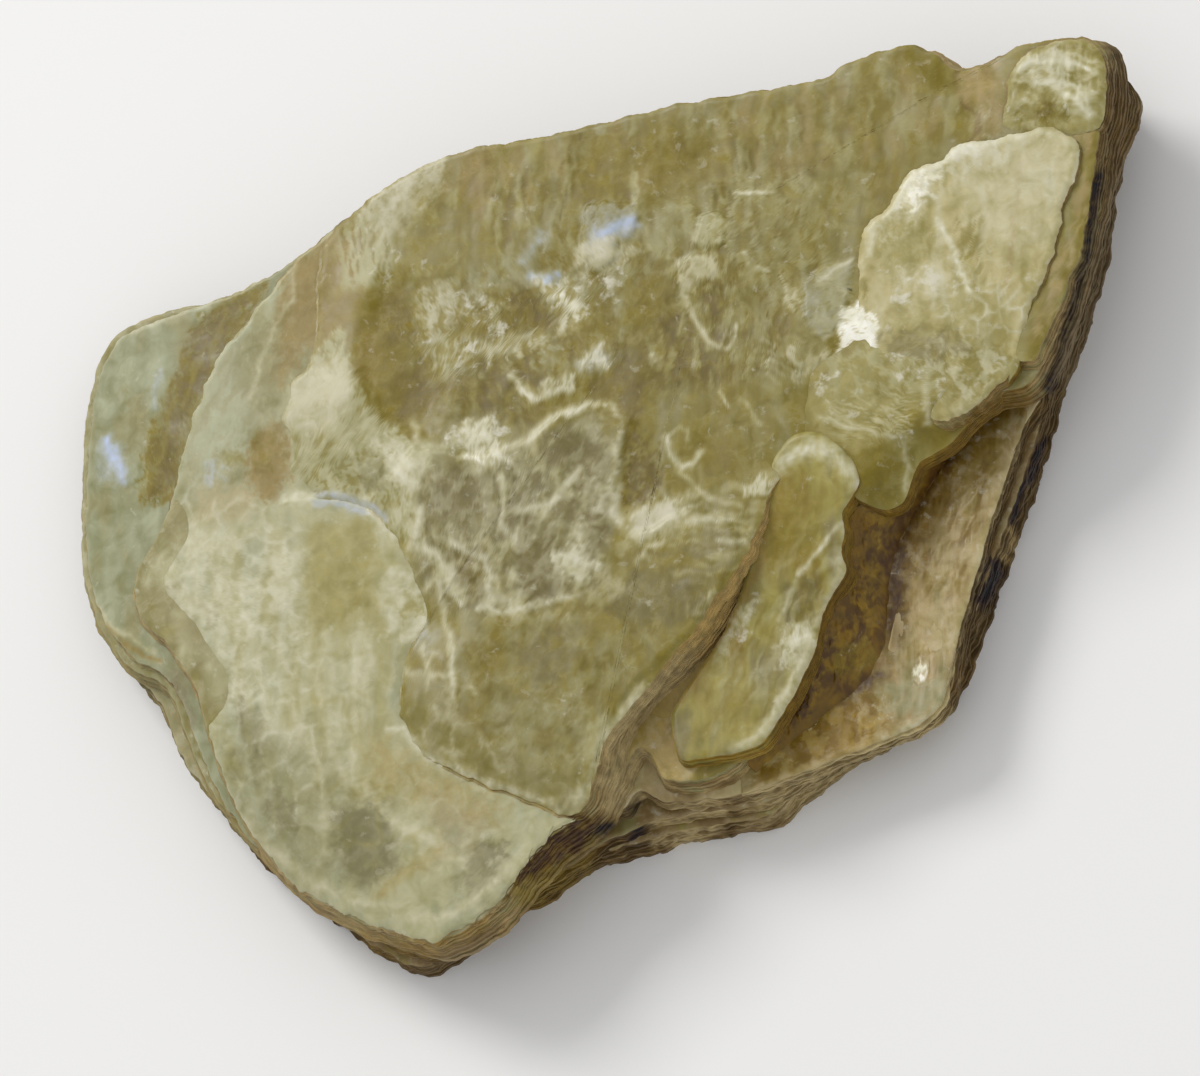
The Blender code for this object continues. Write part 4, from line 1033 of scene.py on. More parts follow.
mainLeaf = {
    "foot": 10.75, "top": 12.1, "cells": 290, "centre": (11, 23), "jag": 0.2, "seed": 17, "lamina": 0.3, "step": 0.05, "lean": 0.5,
    "wall": "pale", "wear": 0.1, "wearWidth": 0.5, "relief": softRelief(0.12, 17), "tones": ("troughOlive", "olive", "greyOlive"), "bands": 0.5, "flake": 0.14, "crack": 0.15,
    "outline": path(-1.4, -28.4, 0.2, -27.2, 0.8, -25, 1.8, -22.3, 2.8, -20.6, 5.1, -18.4, 8, -15, 9.9,
        -13, 11.2, -11, 12.4, -9.4, 13.6, -7.8, 14.8, -6, 15.4, -4.4, 16.2, -2.6, 17, -0.8, 17.8, 1, 19.3,
        2.8, 19.8, 5, 20, 8, 20.8, 9.4, 24, 10.2, 30, 9.8, 36, 8.8, 39.4, 7.6, 41.4, 11, 42.9, 14.5, 44.2,
        17.9, 44.7, 21.5, 45.3, 24.2, 45.6, 26.9, 46.2, 30, 46.6, 33, 46, 35.6, 43.6, 36.6, 39.2, 36.4,
        36.2, 35.5, 33.4, 35, 31, 37, 28.4, 37.8, 24.6, 37.1, 20, 35.6, 10, 35.2, 5, 34.7, -2.4, 33.8, -8,
        33.5, -13.6, 32.8, -18.6, 30.6, -23.8, 26.8, -24.6, 22, -25.1, 16, -26.8, 14.2, -27.4, 12, -27.8,
        10.8, -27, 9, -26.8, 7.2, -27.8, 5, -28.6, 2.6, -25.5, 2.6, -23, 2.7, -20.8, 2, -18.8, 0.6, -17.4,
        -1.4, -16.2, -4, -15.2, -6, -14.5, -8.6, -14.9, -10, -16, -12.4, -16.8, -16, -16.6, -20, -13,
        -22.5, -8.6, -25, -5, -26.6),
    "slopes": [
        (-0.75, 5.0, path(-28.6, 2.6, -25.5, 2.6, -23, 2.7, -20.8, 2, -18.8, 0.6, -17.4, -1.4, -16.2, -4,
            -15.2, -6, -14.6, -9.8, -16.4, -12, -17, -16, -16.8, -19)),
        (-0.7, 3.5, path(-16.8, -20, -13, -22.5, -8.6, -25, -5, -26.6, -2, -28)),
        (-0.8, 6.0, path(-28.6, 3, -27.2, 9, -27.6, 12, -25.4, 16, -24.8, 22, -23.8, 27)),
        (-0.6, 3.0, path(31.6, 37, 33.4, 35, 36.2, 35.4)),
        (-0.18, 2.5, path(17.8, 1, 19.8, 4, 20, 8, 20.8, 9.4, 24, 10.2, 30, 9.8, 36, 8.8, 39.4, 7.6)),
    ],
    "plies": [
        (0.2, 0.3, path(-20, 2.2, -17.4, 4.4, -15.6, 6.2, -12.4, 5.8, -9.8, 4.6, -7.6, 5.2, -5, 5.6, -3,
            7.4, -1, 8.3, 1.4, 8.2, 3.2, 7, 3.8, 6, 3.2, 4.4, 3, 2.4, 2.7, 0, 2.8, -2, 3.8, -3.8, 5.2, -4,
            7, -3.2, 9, -2.2, 12.6, -3.4, 13.8, -6, 12, -9.8, 9.4, -13, 7, -15.2, 4, -17.8, 1.6, -20.8,
            0.8, -24, -0.4, -26.8, -1.8, -28, -4.4, -26.6, -8, -25, -12.6, -22.6, -16.2, -19.8, -16.6,
            -16, -16.2, -12, -14.2, -9.6, -14.8, -6, -16.8, -0.8)),
        (0.14, 0.12, path(19.6, 17.4, 21.6, 18.3, 23.9, 18.8, 23.7, 16, 23, 13.5, 22, 12, 20.4, 12.2,
            19.6, 14)),
        (0.12, 0.12, path(9.8, 22, 10.4, 24.4, 11.8, 24.8, 12.8, 23.4, 12.4, 21.8, 11, 21.3)),
        (0.12, 0.12, path(8.4, 18.4, 8.2, 20.4, 9.4, 21, 11.6, 20.6, 12, 19, 10.4, 18)),
        (0.16, 0.12, path(-0.6, 21, 0, 26.6, 2, 27, 4.4, 26.1, 4.7, 25, 4.3, 23.5, 2.9, 23, 3, 21.5, 1.5,
            20.6)),
        (-0.35, 1.1, path(-20.6, 16, -20.2, 12.6, -18.8, 10, -16.6, 8.4, -14.2, 7.2, -13.6, 9.6, -12.8,
            11.4, -13.6, 14, -14.8, 18, -16, 22.4, -18.4, 22.6, -20, 19.6)),
        (-0.2, 0.7, path(3.6, 5, 4.4, 6, 5.6, 4.5, 6.5, 2, 6.6, 0, 5.6, -1.2, 4, -1.8, 3.2, -0.6, 3.2, 2)),
    ],
    "marks": [
        # broad tones
        patch("brownOlive", 0.8, 1.4, -25.5, 16, -24, 27, -20.5, 27, -20.5, 22, -21.5, 17),
        patch("mossGrey", 0.85, 1.2, 3, 5, 2.5, -2, 0, -8.5, -12, -9, -15.5, -6, -15, 6, -10, 4, -4, 5, 0,
            7.5),
        patch("greyGreen", 0.55, 1.5, -8, -17, 0, -18, 0, -24, -3, -26, -8, -23.5),
        # the deep trough and the pocket
        patch("troughOlive", 0.95, 0.8, -19, 23, -20.8, 17, -21, 14, -19.8, 10.8, -17, 8.2, -14, 6.4, -13.4,
            6.8, -14.8, 9.4, -13.6, 9.8, -12.4, 12, -13.2, 13, -13.6, 15, -16.4, 23),
        patch("deepOlive", 0.6, 0.9, -14.6, 14.6, -16.6, 14, -17.4, 11, -17.4, 8.8, -15, 8.6, -13.6, 11),
        patch("deepOlive", 0.45, 0.8, -15.8, 16, -16.2, 21.6, -18.4, 22, -18.4, 17),
        patch("brownOlive", 0.45, 0.8, -21, 12.6, -20.6, 18, -18.6, 17.4, -18.6, 13),
        patch("deepOlive", 0.9, 0.5, 4.4, 6.2, 5.8, 4.5, 6.7, 2, 6.6, 0, 5.6, -1.2, 4, -1.8, 3.1, -0.6, 3,
            2, 3.4, 5),
        # grey, pale streaks and dark olive at the upper left
        patch("wedgeGrey", 0.9, 0.45, -12.5, 32.9, -12.4, 31.2, -17, 29.7, -17.6, 27.2, -19.6, 26.6, -21.6,
            27.2, -20.8, 28.9, -18.4, 31, -15, 32.7),
        streak("paleGreen", 0.85, (0.5, 4), 0, 0.62, 0.7, -18, 29, -17.2, 24, -18, 21.6, -22.4, 21.6, -22.6,
            27),
        patch("deepOlive", 0.5, 0.5, -2.4, 27, -2.2, 33.6, -0.6, 33.8, -0.4, 27.6),
        # fibres
        streak("greyGreen", 0.4, (0.9, 5), 0, 0.34, 2, -13, 9, -13, 33, 6, 34, 24, 36, 25, 22, 19, 9),
        streak("deepOlive", 0.55, (1, 5), 4, 0.34, 2, -13, 9, -13, 31, 22, 34, 22, 22, 19, 9),
        streak("paleGreen", 0.45, (0.8, 3.5), -3, 0.22, 2, -17, 21, -17, 31, 24, 36, 24, 24, 15, 18, 6, 20),
        # small bright flakes at the left
        flake("crackWhite", 0.32, 0.8, -13, 21.4, -20, 21.6, -20, 26, -13, 26),
        # white crackled cluster
        crust("greyGreen", 0.75, 1.3, 0.5, 1.2, 5, 21.5, 4, 14, -4, 12, -12, 12, -16, 14, -16, 21, -7, 23,
            0, 21.5),
        crust("paleGreen", 0.5, 1.2, 0.34, 1.5, 6, 28, 20, 28, 22, 20, 18, 9, 10, 9, 6, 12),
        crust("deepOlive", 0.45, 1.4, 0.36, 1.5, -16, 8, -16, 20, 18, 24, 19, 10, 10, 8),
        flake("cream", 0.53, 0.8, -6.4, 13.4, -10, 13, -13, 13.4, -15, 15.6, -14.6, 20.8, -12, 20.4, -8.4,
            21, -6, 20),
        patch("wedgeGrey", 0.75, 0.6, -13.6, 12, -15.4, 18.6, -14.6, 21, -13, 21, -11.6, 19.4, -12.6, 17.6,
            -12.2, 14.4),
        patch("cream", 0.7, 0.5, -12.4, 16.2, -11.2, 15.6, -11, 13.8, -12.2, 13.4, -13.2, 14.8),
        patch("crackWhite", 0.7, 0.45, -10.2, 14, -9.6, 15.2, -7.4, 15, -7, 14, -8.6, 13.4),
        patch("cream", 0.6, 0.5, -7, 19, -7, 17, -8.6, 17.2, -8.4, 18.8),
        stroke("deepOlive", 0.8, 0.5, -6, 20.2, -3.4, 15.8),
        patch("crackWhite", 0.85, 0.5, -3.8, 18.4, -3.4, 20.4, -1.4, 20.8, -0.8, 19.2, -2, 18),
        patch("cream", 0.8, 0.5, -0.4, 19, 0, 17, -0.8, 15.2, -2.2, 15.4, -2.2, 18.4),
        flake("crackWhite", 0.54, 0.6, -4, 21, 3.4, 21, 3.2, 17.4, 0, 15, -4, 15),
        patch("troughOlive", 0.9, 0.3, -4.7, 20.4, -4.4, 22.4, -2.4, 23.2, -0.8, 22.4, -1, 21, -2.8, 20.3),
        stroke("bluish", 0.95, 0.55, -5.8, 22.2, -4, 24.6),
        patch("greyGreen", 0.6, 0.7, -0.6, 19.6, -5, 19.6, -7.4, 20.8, -6.6, 23, -4.4, 25.4, -3.4, 24.4,
            -4.6, 22.6, -4.8, 21, -3, 20, -0.6, 20.6),
        stroke("skyGlint", 1, 0.5, -5, 20.7, -3.8, 20.4, -2.6, 20.6),
        # the grey and white flake, with a painted blue sky glint
        patch("flakeGrey", 0.85, 0.25, -0.2, 21, 0, 26.6, 2, 27, 4.4, 26.1, 4.7, 25, 4.3, 23.5, 2.9, 23, 3,
            21.5, 1.5, 20.6),
        stroke("bluish", 0.9, 0.9, 1.2, 23.6, 2.6, 24.2, 4, 24.4),
        stroke("skyGlint", 0.9, 0.45, 1.2, 24, 4.2, 24.9),
        patch("crackWhite", 0.8, 0.3, 2.4, 23.6, 2.8, 22, 1.5, 20.8, 0.2, 21, 0.2, 23.4),
        # the two rounded pale patches
        patch("greyGreen", 0.5, 1, 6, 21, 6, 27, 9.5, 27, 9.5, 21),
        patch("paleGreen", 0.85, 0.3, 11.8, 24.8, 12.8, 23.4, 12.4, 21.8, 11, 21.3, 9.8, 22, 10.4, 24.4),
        patch("cream", 0.8, 0.3, 12, 19, 10.4, 18, 8.4, 18.4, 8.2, 20.4, 9.4, 21, 11.6, 20.6),
        stroke("white", 0.75, 0.2, 13.5, 26.2, 17, 25.8),
        stroke("crackWhite", 0.6, 0.2, 14.3, 20.5, 15, 19, 16.5, 18.5),
        patch("cream", 0.8, 0.25, 17.3, 18.6, 18.2, 17, 19.5, 16.6, 18.9, 14.5, 18, 15),
        # grey flake, cream under it
        patch("flakeGrey", 0.85, 0.2, 23.9, 18.8, 23.7, 16, 23, 13.5, 22, 12, 20.4, 12.2, 19.6, 14, 19.6,
            17.4, 21.6, 18.3),
        stroke("cream", 0.7, 0.25, 20.2, 12.4, 22, 12, 22.8, 13),
        patch("cream", 0.75, 0.4, 19.7, 9, 19.8, 10.6, 22, 10.8, 22.2, 9.2),
        streak("crackWhite", 0.7, (0.4, 2.5), 60, 0.45, 0.6, 15.8, 12.4, 19.6, 12, 19.6, 8, 15.6, 8),
        # dark tracks
        streak("deepOlive", 0.8, (0.9, 3.5), 0, 0.6, 0.8, 9.4, 16, 9.6, 9, 6.8, 9, 6.6, 15.6),
        streak("deepOlive", 0.8, (0.8, 4), 6, 0.55, 0.8, 9.8, 8.6, 10, 18, 12.2, 18, 12, 9),
        stroke("crackWhite", 0.75, 0.22, 8.5, 18, 10.6, 13.4, 11.4, 12.3, 12.6, 12, 13.4, 12.6, 13.6, 13.8),
        patch("crackWhite", 0.8, 0.3, 5.8, 11, 6, 12.1, 7, 12, 6.9, 11),
        flake("cream", 0.54, 0.5, -0.6, 10.8, -0.6, 13.4, 2.2, 13.4, 2.4, 11),
        stroke("white", 0.85, 0.3, -6.7, 12.1, -5.8, 10.6, -4.6, 9.4),
        patch("crackWhite", 0.85, 0.3, -4, 9.6, -4, 11, -1.6, 11.4, -0.6, 10.8, -1.6, 9.8),
        streak("deepOlive", 0.7, (0.7, 2.5), 20, 0.5, 0.8, -4.6, 14.4, -4.4, 7, -7.4, 6.6, -10.6, 9.6,
            -10.6, 14),
        stroke("deepOlive", 0.6, 0.5, 0.4, 10.2, 3, 10.3, 5, 9.2),
        # pale overlay at the left
        patch("paleGreen", 0.95, 0.3, -16.4, -2.2, -18.6, 0, -21, 1.6, -25, 2.4, -29, 2.2, -27, 7.4, -27.4,
            9.6, -28.2, 10.8, -27.2, 11.6, -27, 14, -22.2, 18.4, -20.6, 12.4, -19.2, 9.8, -16.8, 7.8, -14.6,
            6.4, -13.6, 5.4, -14.8, 3, -15.2, 0),
        patch("cream", 0.7, 0.8, -27.6, 9, -27, 14, -24, 14.6, -22.2, 16.4, -21.2, 12, -23, 9),
        patch("wedgeGrey", 0.6, 0.6, -21.2, 14, -24.4, 15.8, -26.4, 13.8, -28, 11.8, -27.4, 10, -24.8, 8.4,
            -21.2, 10.4),
        patch("mossGrey", 0.8, 0.7, -20.4, 5.8, -18.4, 5.2, -17.4, 3.4, -18.4, 2.6, -20.2, 3.4),
        patch("cream", 0.85, 0.5, -17.8, 7.4, -15.6, 6.8, -14.2, 5.6, -14.8, 3.4, -16.8, 2.6, -17.8, 4.4),
        stroke("bluish", 0.8, 0.35, -24.6, 3, -22.4, 2.6, -20.6, 1.9, -19, 1, -18, 0),
        stroke("cream", 0.7, 0.5, -15.4, 8.6, -15, 5, -15, 1, -15.6, -2, -16.4, -4),
        # the ring's pale rim
        stroke("paleGreen", 0.8, 0.7, -20.6, 9, -18, 7.4, -15.5, 6.2, -13, 5.8, -11, 6.2),
        flake("crackWhite", 0.52, 0.5, -6, 6.2, -8, 3.4, -12, 4, -13, 5, -13, 7.6, -8, 8.4),
        patch("crackWhite", 0.8, 0.35, -11.2, 6.8, -10.8, 8.1, -8.8, 8.2, -8.3, 7, -9.4, 6.4),
        stroke("brightWhite", 1, 0.34, -11.1, 5, -9.1, 4.2),
        stroke("cream", 0.75, 0.35, -8.8, 4.4, -7, 5.4, -5.2, 5.6, -3, 7.3),
        stroke("crackWhite", 0.9, 0.4, -4.9, 5.9, -3.6, 7, -2.2, 7.8, -0.8, 8.1),
        stroke("white", 0.85, 0.3, -1.6, 7.7, -0.6, 7.9, 0.4, 8.6, 1.4, 8.3, 2.6, 7.6, 3.3, 6.6),
        stroke("crackWhite", 0.85, 0.4, 3.4, 6.6, 3.2, 5, 2.6, 4, 2.8, 2.4, 2.4, 0.8, 2.9, -2.6),
        stroke("cream", 0.7, 0.4, 2.9, -2.6, 3.8, -3.8, 4.8, -4.4, 7, -3.4),
        patch("crackWhite", 0.8, 0.5, 8.8, -1.4, 8.4, -2.8, 6.6, -3.4, 5.4, -4.2, 4.4, -3.4, 5.4, -1.8, 7.2,
            -1),
        patch("cream", 0.5, 1, 4, -5, 5, -1.5, 9.5, -1, 9.5, -3.5),
        crust("cream", 0.5, 1.6, 0.4, 0.8, 2.4, 4, 2.4, -3, 0, -9, -6, -10, -12, -9.4, -15.4, -6, -15, 5,
            -10, 4, -4, 5.6, -1, 7),
        crust("smokeOlive", 0.75, 1.7, 0.42, 0.8, -14.6, 3, -10, 3, -2, 5, 2, 3, 2, -3, 0, -9, -6, -10, -12,
            -9, -14.6, -6),
        # crack nets inside the ring
        net("cream", 0.6, (3, 3.4), 0.4, 0.8, 2.4, 4, 2.4, -3, 0, -9, -6, -10, -12, -9.4, -15.4, -6, -15, 5,
            -10, 4, -4, 5.6, -1, 7),
        cell("smokeOlive", 0.7, (3, 3.4), 0.45, 0.8, 2.4, 4, 2.4, -3, 0, -9, -6, -10, -12, -9.4, -15.4, -6,
            -15, 5, -10, 4, -4, 5.6, -1, 7),
        patch("smokeOlive", 0.55, 0.9, -15, 4, -8.4, 2.8, -8.4, -2, -12, -2.6, -15, -1),
        patch("crackWhite", 0.6, 0.6, -2, -3.8, 0, -4.2, 0.6, -6.4, -0.4, -7.6, -2, -6.2),
        patch("smokeOlive", 0.8, 0.6, -2.6, -8.6, -5.4, -8.6, -6.4, -6.4, -6, -4, -3.6, -3.4, -2.4, -6),
        patch("smokeOlive", 0.7, 0.4, -11.4, -5.4, -9.8, -5.6, -8.4, -7.6, -8.8, -8.8, -10.4, -8),
        stroke("cream", 0.8, 0.32, -15, -2.8, -13.4, -3.6, -12.6, -5.6, -11.6, -7, -10.6, -8),
        stroke("cream", 0.75, 0.3, -12.8, -4.8, -11.2, -4.6, -9.6, -5.4, -8.2, -6.6, -7.6, -8.2, -6, -9),
        stroke("crackWhite", 0.8, 0.3, -9.6, -8.8, -8, -9.5, -6, -9.4, -4, -9),
        stroke("cream", 0.6, 0.26, -8.6, 3.6, -7.4, 2, -7.2, 0, -7.8, -2.4),
        stroke("cream", 0.7, 0.3, 1.6, 3, 0.8, 1.4, -0.6, 0.2, -2.6, 0.4, -3.6, -1, -4.4, -3),
        # dark oval and lines at the ring's lower left
        stroke("cream", 0.8, 0.26, -14.6, -12, -14.4, -13.8, -13.4, -15.2, -12.4, -15.8),
        stroke("cream", 0.75, 0.26, -12.1, -11, -11.8, -15.4, -12, -17.2, -11.8, -18.6),
        stroke("cream", 0.75, 0.32, -17.6, -13, -16.2, -13.8, -13, -16.4),
        patch("bluish", 0.6, 0.8, -16.4, -10, -15.6, -9.8, -13.4, -10.4, -13.6, -11.4, -15.6, -11.8),
        crust("deepOlive", 0.4, 2.2, 0.4, 1, 10, -9, 3, -18, -1, -25, -14, -19, -14, -11),
        crust("greyGreen", 0.4, 2, 0.3, 1, 10, -9, 3, -18, -1, -25, -14, -19, -14, -11),
        # sparse short cracks in the smooth part
        net("greyGreen", 0.5, (4, 2.6), 0.22, 1, 8, -8, -2, -25, -14, -19, -12, -10, 2, -9),
        stroke("cream", 0.7, 0.18, -10.4, -15.8, -9.8, -16.4, -9.5, -17),
        patch("crackWhite", 0.6, 0.5, 11.4, -10.2, 10, -9.8, 9, -10.2, 9.4, -11.4, 11, -11.2),
        # lying striations at the right
        streak("cream", 0.5, (0.7, 5), 82, 0.36, 0.9, 17, 0.4, 16, -3, 14.4, -6.4, 12, -9.6, 8, -9.4, 6.6,
            -3, 8.6, -1),
        streak("smokeOlive", 0.5, (0.8, 5), 80, 0.4, 1, 4, -9, 5, -5, 14, -4, 14, -7, 11, -10),
        patch("crackWhite", 0.85, 0.4, 16.8, -0.2, 16.6, -1.4, 15.4, -1.8, 14.2, -1.4, 14, -0.6, 15.4,
            -0.2),
        stroke("cream", 0.7, 0.22, 8.6, 1.2, 9.4, 0.4, 10, -0.6, 11, -1.4, 12.4, -2, 14, -2.4),
        stroke("crackWhite", 0.7, 0.22, 9, -3.2, 13, -3.8),
        stroke("crackWhite", 0.75, 0.22, 11.8, -5.3, 14.3, -5.9),
        stroke("crackWhite", 0.85, 0.34, 7.3, 4.6, 7.4, 3.2, 8, 2.2, 8.8, 1.5, 9.7, 2, 10.3, 3),
        stroke("cream", 0.6, 0.22, 7.8, 4.8, 8.4, 5.4, 9.2, 5, 9.2, 4),
        stroke("crackWhite", 0.8, 0.2, 11.9, 8, 13, 6.8),
        stroke("cream", 0.7, 0.2, 13.8, 7, 14.8, 6, 15.6, 4.8),
        # the strip beside the pale leaf and the one towards the knob
        streak("beige", 0.6, (0.6, 3), -18, 0.45, 0.6, 39, 9, 42, 10, 46, 19, 48, 29, 43, 28.6, 44.2, 26,
            43.4, 22),
        patch("beige", 0.75, 0.6, 37, 35.4, 33.6, 35, 33.6, 32.2, 35.2, 30.6, 34.8, 28.4, 37.4, 28.6),
        patch("crackWhite", 0.7, 0.5, 35, 29, 35, 31, 36.2, 31, 36.2, 29),
        stroke("umber", 0.6, 0.22, 33.4, 34.9, 33.2, 33.4, 33.4, 32, 35.1, 30.4, 34.9, 29, 34.5, 28.2),
        patch("springGreen", 0.5, 1.5, 23, 12, 26, 7, 38, 6, 40, 9, 30, 12),
        # painted glare: the white block, a highlight painted near pure white
        patch("brightWhite", 0.95, 0.35, 23, 14.3, 24.5, 14.4, 25.8, 13.6, 26, 11, 25.2, 9.7, 24, 9.2, 22.5,
            10.3),
        patch("springGreen", 0.6, 0.8, 21.4, 28, 22, 30.6, 24.6, 30.4, 24.4, 28),
        patch("greyOlive", 0.7, 0.8, 22, 36.4, 22, 33.8, 6, 33.4, 6, 35.4),
        streak("troughOlive", 0.6, (1.3, 6), 2, 0.45, 1, -14, 31, -8, 33.5, 10, 35, 24, 37, 31, 37, 34, 34,
            37, 29, 20, 27, 8, 27.5, -2, 27.5, -12, 27),
        streak("paleGreen", 0.4, (1.1, 5), -2, 0.3, 1, -14, 31, -8, 33.5, 10, 35, 24, 37, 31, 37, 34, 34,
            37, 29, 20, 27, 8, 27.5, -2, 27.5, -12, 27),
        streak("brownOlive", 0.45, (1.6, 5), 3, 0.3, 1, -14, 31, -8, 33.5, 10, 35, 24, 37, 31, 37, 34, 34,
            37, 29, 20, 27, 8, 27.5, -2, 27.5, -12, 27),
        streak("troughOlive", 0.5, (1.2, 4), -6, 0.4, 1.5, 12, 4, 14, 14, 14, 24, 20, 28, 32, 31, 34, 27,
            26, 21, 20, 12, 19, 4),
        streak("greyGreen", 0.4, (1.2, 4), -6, 0.35, 1.5, 12, 4, 14, 14, 14, 24, 20, 28, 32, 31, 34, 27, 26,
            21, 20, 12, 19, 4),
        # later touches on the clusters and the ring
        patch("deepOlive", 0.8, 0.5, -3, 16.3, -3.4, 18.6, -4.8, 19.9, -7, 19.4, -7.4, 17.2, -4.8, 15.4),
        patch("troughOlive", 0.8, 0.7, 0, 12.6, 2.8, 13.8, 3.6, 16, 2, 17.2, 0, 17.2, -1.6, 14.6),
        patch("troughOlive", 0.85, 0.6, 4.4, 14, 7, 15.6, 8, 18.4, 6.4, 20.4, 4.6, 19.2, 3.6, 16.6),
        patch("brownOlive", 0.7, 0.7, -11.8, 33.6, -12.2, 30, -9.6, 27.2, -8.4, 28.4, -8.8, 33.2),
        patch("troughOlive", 0.8, 0.7, 4.8, 32.4, 0, 33.2, -0.8, 27.8, 1.2, 26.4, 4.2, 29.2),
        patch("troughOlive", 0.7, 0.9, 4.8, 32.4, 5.6, 25.6, 8.4, 26, 12.8, 28, 12.8, 31.4),
        patch("deepOlive", 0.55, 0.6, 4.8, 5.6, 5.6, 10.4, 4.8, 13.6, 2.8, 13.8, 2.8, 5.6),
        patch("olive", 0.6, 0.8, -16.8, 27.4, -15.8, 23.6, -12.4, 21.6, -8.4, 22.6, -8.4, 25.6, -12.2,
            28.4),
        patch("wedgeGrey", 0.55, 0.4, -12.9, 21.3, -14.1, 20.7, -14.3, 18.1, -12.8, 16.1, -11.4, 17.4,
            -10.3, 15.7, -9.6, 16.8),
        patch("paleGreen", 0.8, 0.4, -13, 12.4, -11.7, 12.6, -11.9, 15.9, -13.2, 16.8, -13.6, 15.8),
        stroke("white", 0.85, 0.55, -4.5, 20.4, -1.2, 17.8, -0.7, 16.8, -1.8, 15.6),
        patch("wedgeGrey", 0.75, 0.5, -1.2, 22.4, -0.1, 20, 2.8, 20.4, 4.6, 22, 1.3, 24.3),
        patch("crackWhite", 0.6, 0.35, -9.5, 15.3, -8.5, 14, -5.2, 13.6, -3.4, 14.2, -4.1, 15.4, -7.7,
            15.6),
        patch("bluish", 0.4, 0.5, -0.9, 11.3, 1.3, 11, 2.7, 12.3, 1.3, 13.6, -0.1, 13),
        patch("white", 0.75, 0.4, -0.5, 11.8, 1.3, 11.4, 2.2, 12.4, 1.3, 13.6, -0.1, 13.4),
        stroke("crackWhite", 0.85, 0.35, -6.6, 12, -5.9, 10.8, -4.5, 9.5, -2.7, 10, -1.6, 9.9),
        patch("wedgeGrey", 0.6, 0.8, -18.4, 25.2, -12.6, 30.2, -13.2, 32.4, -16.2, 32.2, -18.4, 31.2, -19.8,
            27),
        stroke("cream", 0.6, 0.2, 4.6, 29.1, 4.5, 25.4),
        stroke("cream", 0.65, 0.25, 9.2, 17, 10.8, 13, 12.1, 12.3),
        patch("white", 0.7, 0.35, -11.1, 8.1, -10.6, 6.2, -8.4, 6.3, -8.4, 7.8),
        patch("troughOlive", 0.6, 0.7, 0, 10, 1.2, 8, 3.6, 9.2, 2.8, 10.8),
        patch("smokeOlive", 0.8, 0.35, -3.2, 3, -1.3, 3.5, -0.5, 5.5, -1.7, 6.8, -3.3, 6.6, -4.4, 4.3),
        patch("smokeOlive", 0.75, 0.4, 1.1, 6.1, -0.5, 4.6, -1.3, 1.5, 0.3, 0.2, 2.3, 1.1, 2.7, 4.3),
        patch("smokeOlive", 0.6, 0.5, -13.6, 4.2, -14, 0.2, -10.8, -1.4, -8.4, 0, -8.8, 2.8, -11.6, 3.9),
        patch("smokeOlive", 0.6, 0.4, -4.8, -0.9, -4, 1.5, -5.2, 3.2, -6.8, 2.6, -6.8, -0.2),
        patch("deepOlive", 0.7, 0.35, -9.5, -7.9, -8.8, -6, -10, -4.3, -11.5, -4.1, -11.1, -6.5),
        patch("smokeOlive", 0.85, 0.4, -3.6, -8.6, -2.8, -6.7, -4, -4.9, -5.6, -4.8, -6, -7.5),
        patch("smokeOlive", 0.6, 0.6, -6.4, -12.6, -4.4, -16.8, -1.2, -15.2, -2.4, -12.4),
        patch("smokeOlive", 0.7, 0.7, 1.8, -10.4, 5, -12.4, 9.6, -12, 11.2, -9.8, 8, -8, 4.2, -7),
        patch("crackWhite", 0.7, 0.4, -15.2, 0.7, -15.2, 5.2, -18, 7.9, -19.6, 7.7, -18, 4.7),
        patch("white", 0.75, 0.35, -12.8, 6.9, -8.4, 4, -6.8, 4.2, -7.2, 5.4, -9.2, 6.9),
        patch("crackWhite", 0.85, 0.35, -2.8, -4.3, -2.8, -6.3, 0.3, -7.8, 1.1, -6.3, -0.5, -4.9),
        patch("wedgeGrey", 0.9, 0.4, 8.9, -1.6, 7.4, -1.5, 5, -2, 3.5, -2.6, 5, -4.8, 7.4, -3.9),
        patch("wedgeGrey", 0.7, 0.35, 1.1, 0.5, 0.7, -1.5, 2.3, -2.1, 3.1, -0.2),
        stroke("crackWhite", 0.8, 0.3, -14.8, 0.7, -15.5, -2.4, -13.1, -3.9, -11.9, -5.6, -12.3, -7.2,
            -11.1, -8.5),
        stroke("crackWhite", 0.8, 0.28, -11.9, -2.8, -10.7, -3.8, -9.2, -4.4, -8.4, -6.4, -8.7, -8.4, -6.8,
            -9, -6.4, -9.8),
        stroke("crackWhite", 0.7, 0.28, -6.8, -0.6, -2.8, -0.3, -0.5, 2.6),
        stroke("crackWhite", 0.6, 0.25, -7.6, 2.7, -7.2, 0.6, -7.6, -1.7, -6.4, -3.1),
        stroke("crackWhite", 0.7, 0.28, -9.1, -9.1, -7.2, -9.6, -5.2, -9.6, -0.5, -8.9),
        stroke("crackWhite", 0.7, 0.3, -13.1, -6.3, -12.7, -9.5, -11.9, -12, -11.7, -18.7),
        stroke("crackWhite", 0.75, 0.25, 3.1, 0.6, 2.4, -2.1, 3.1, -3),
        stroke("crackWhite", 0.7, 0.25, 4.6, -6.7, 5.4, -5.4, 7, -5),
        # pale lip along the front rim
        stroke("crackWhite", 0.85, 0.42, -17.4, -20.4, -16.6, -19.4, -15.4, -20.2, -15, -21.4, -13, -22.3,
            -11, -23.6, -8.5, -24.9, -2.2, -27.6),
        stroke("cream", 0.85, 0.6, -1, -27.4, 0.2, -26, 1.6, -21.8, 5, -18),
        patch("paleGreen", 0.6, 0.7, 0, -24, -0.4, -20.6, 1.4, -20, 2.6, -20.6, 1, -23.8),
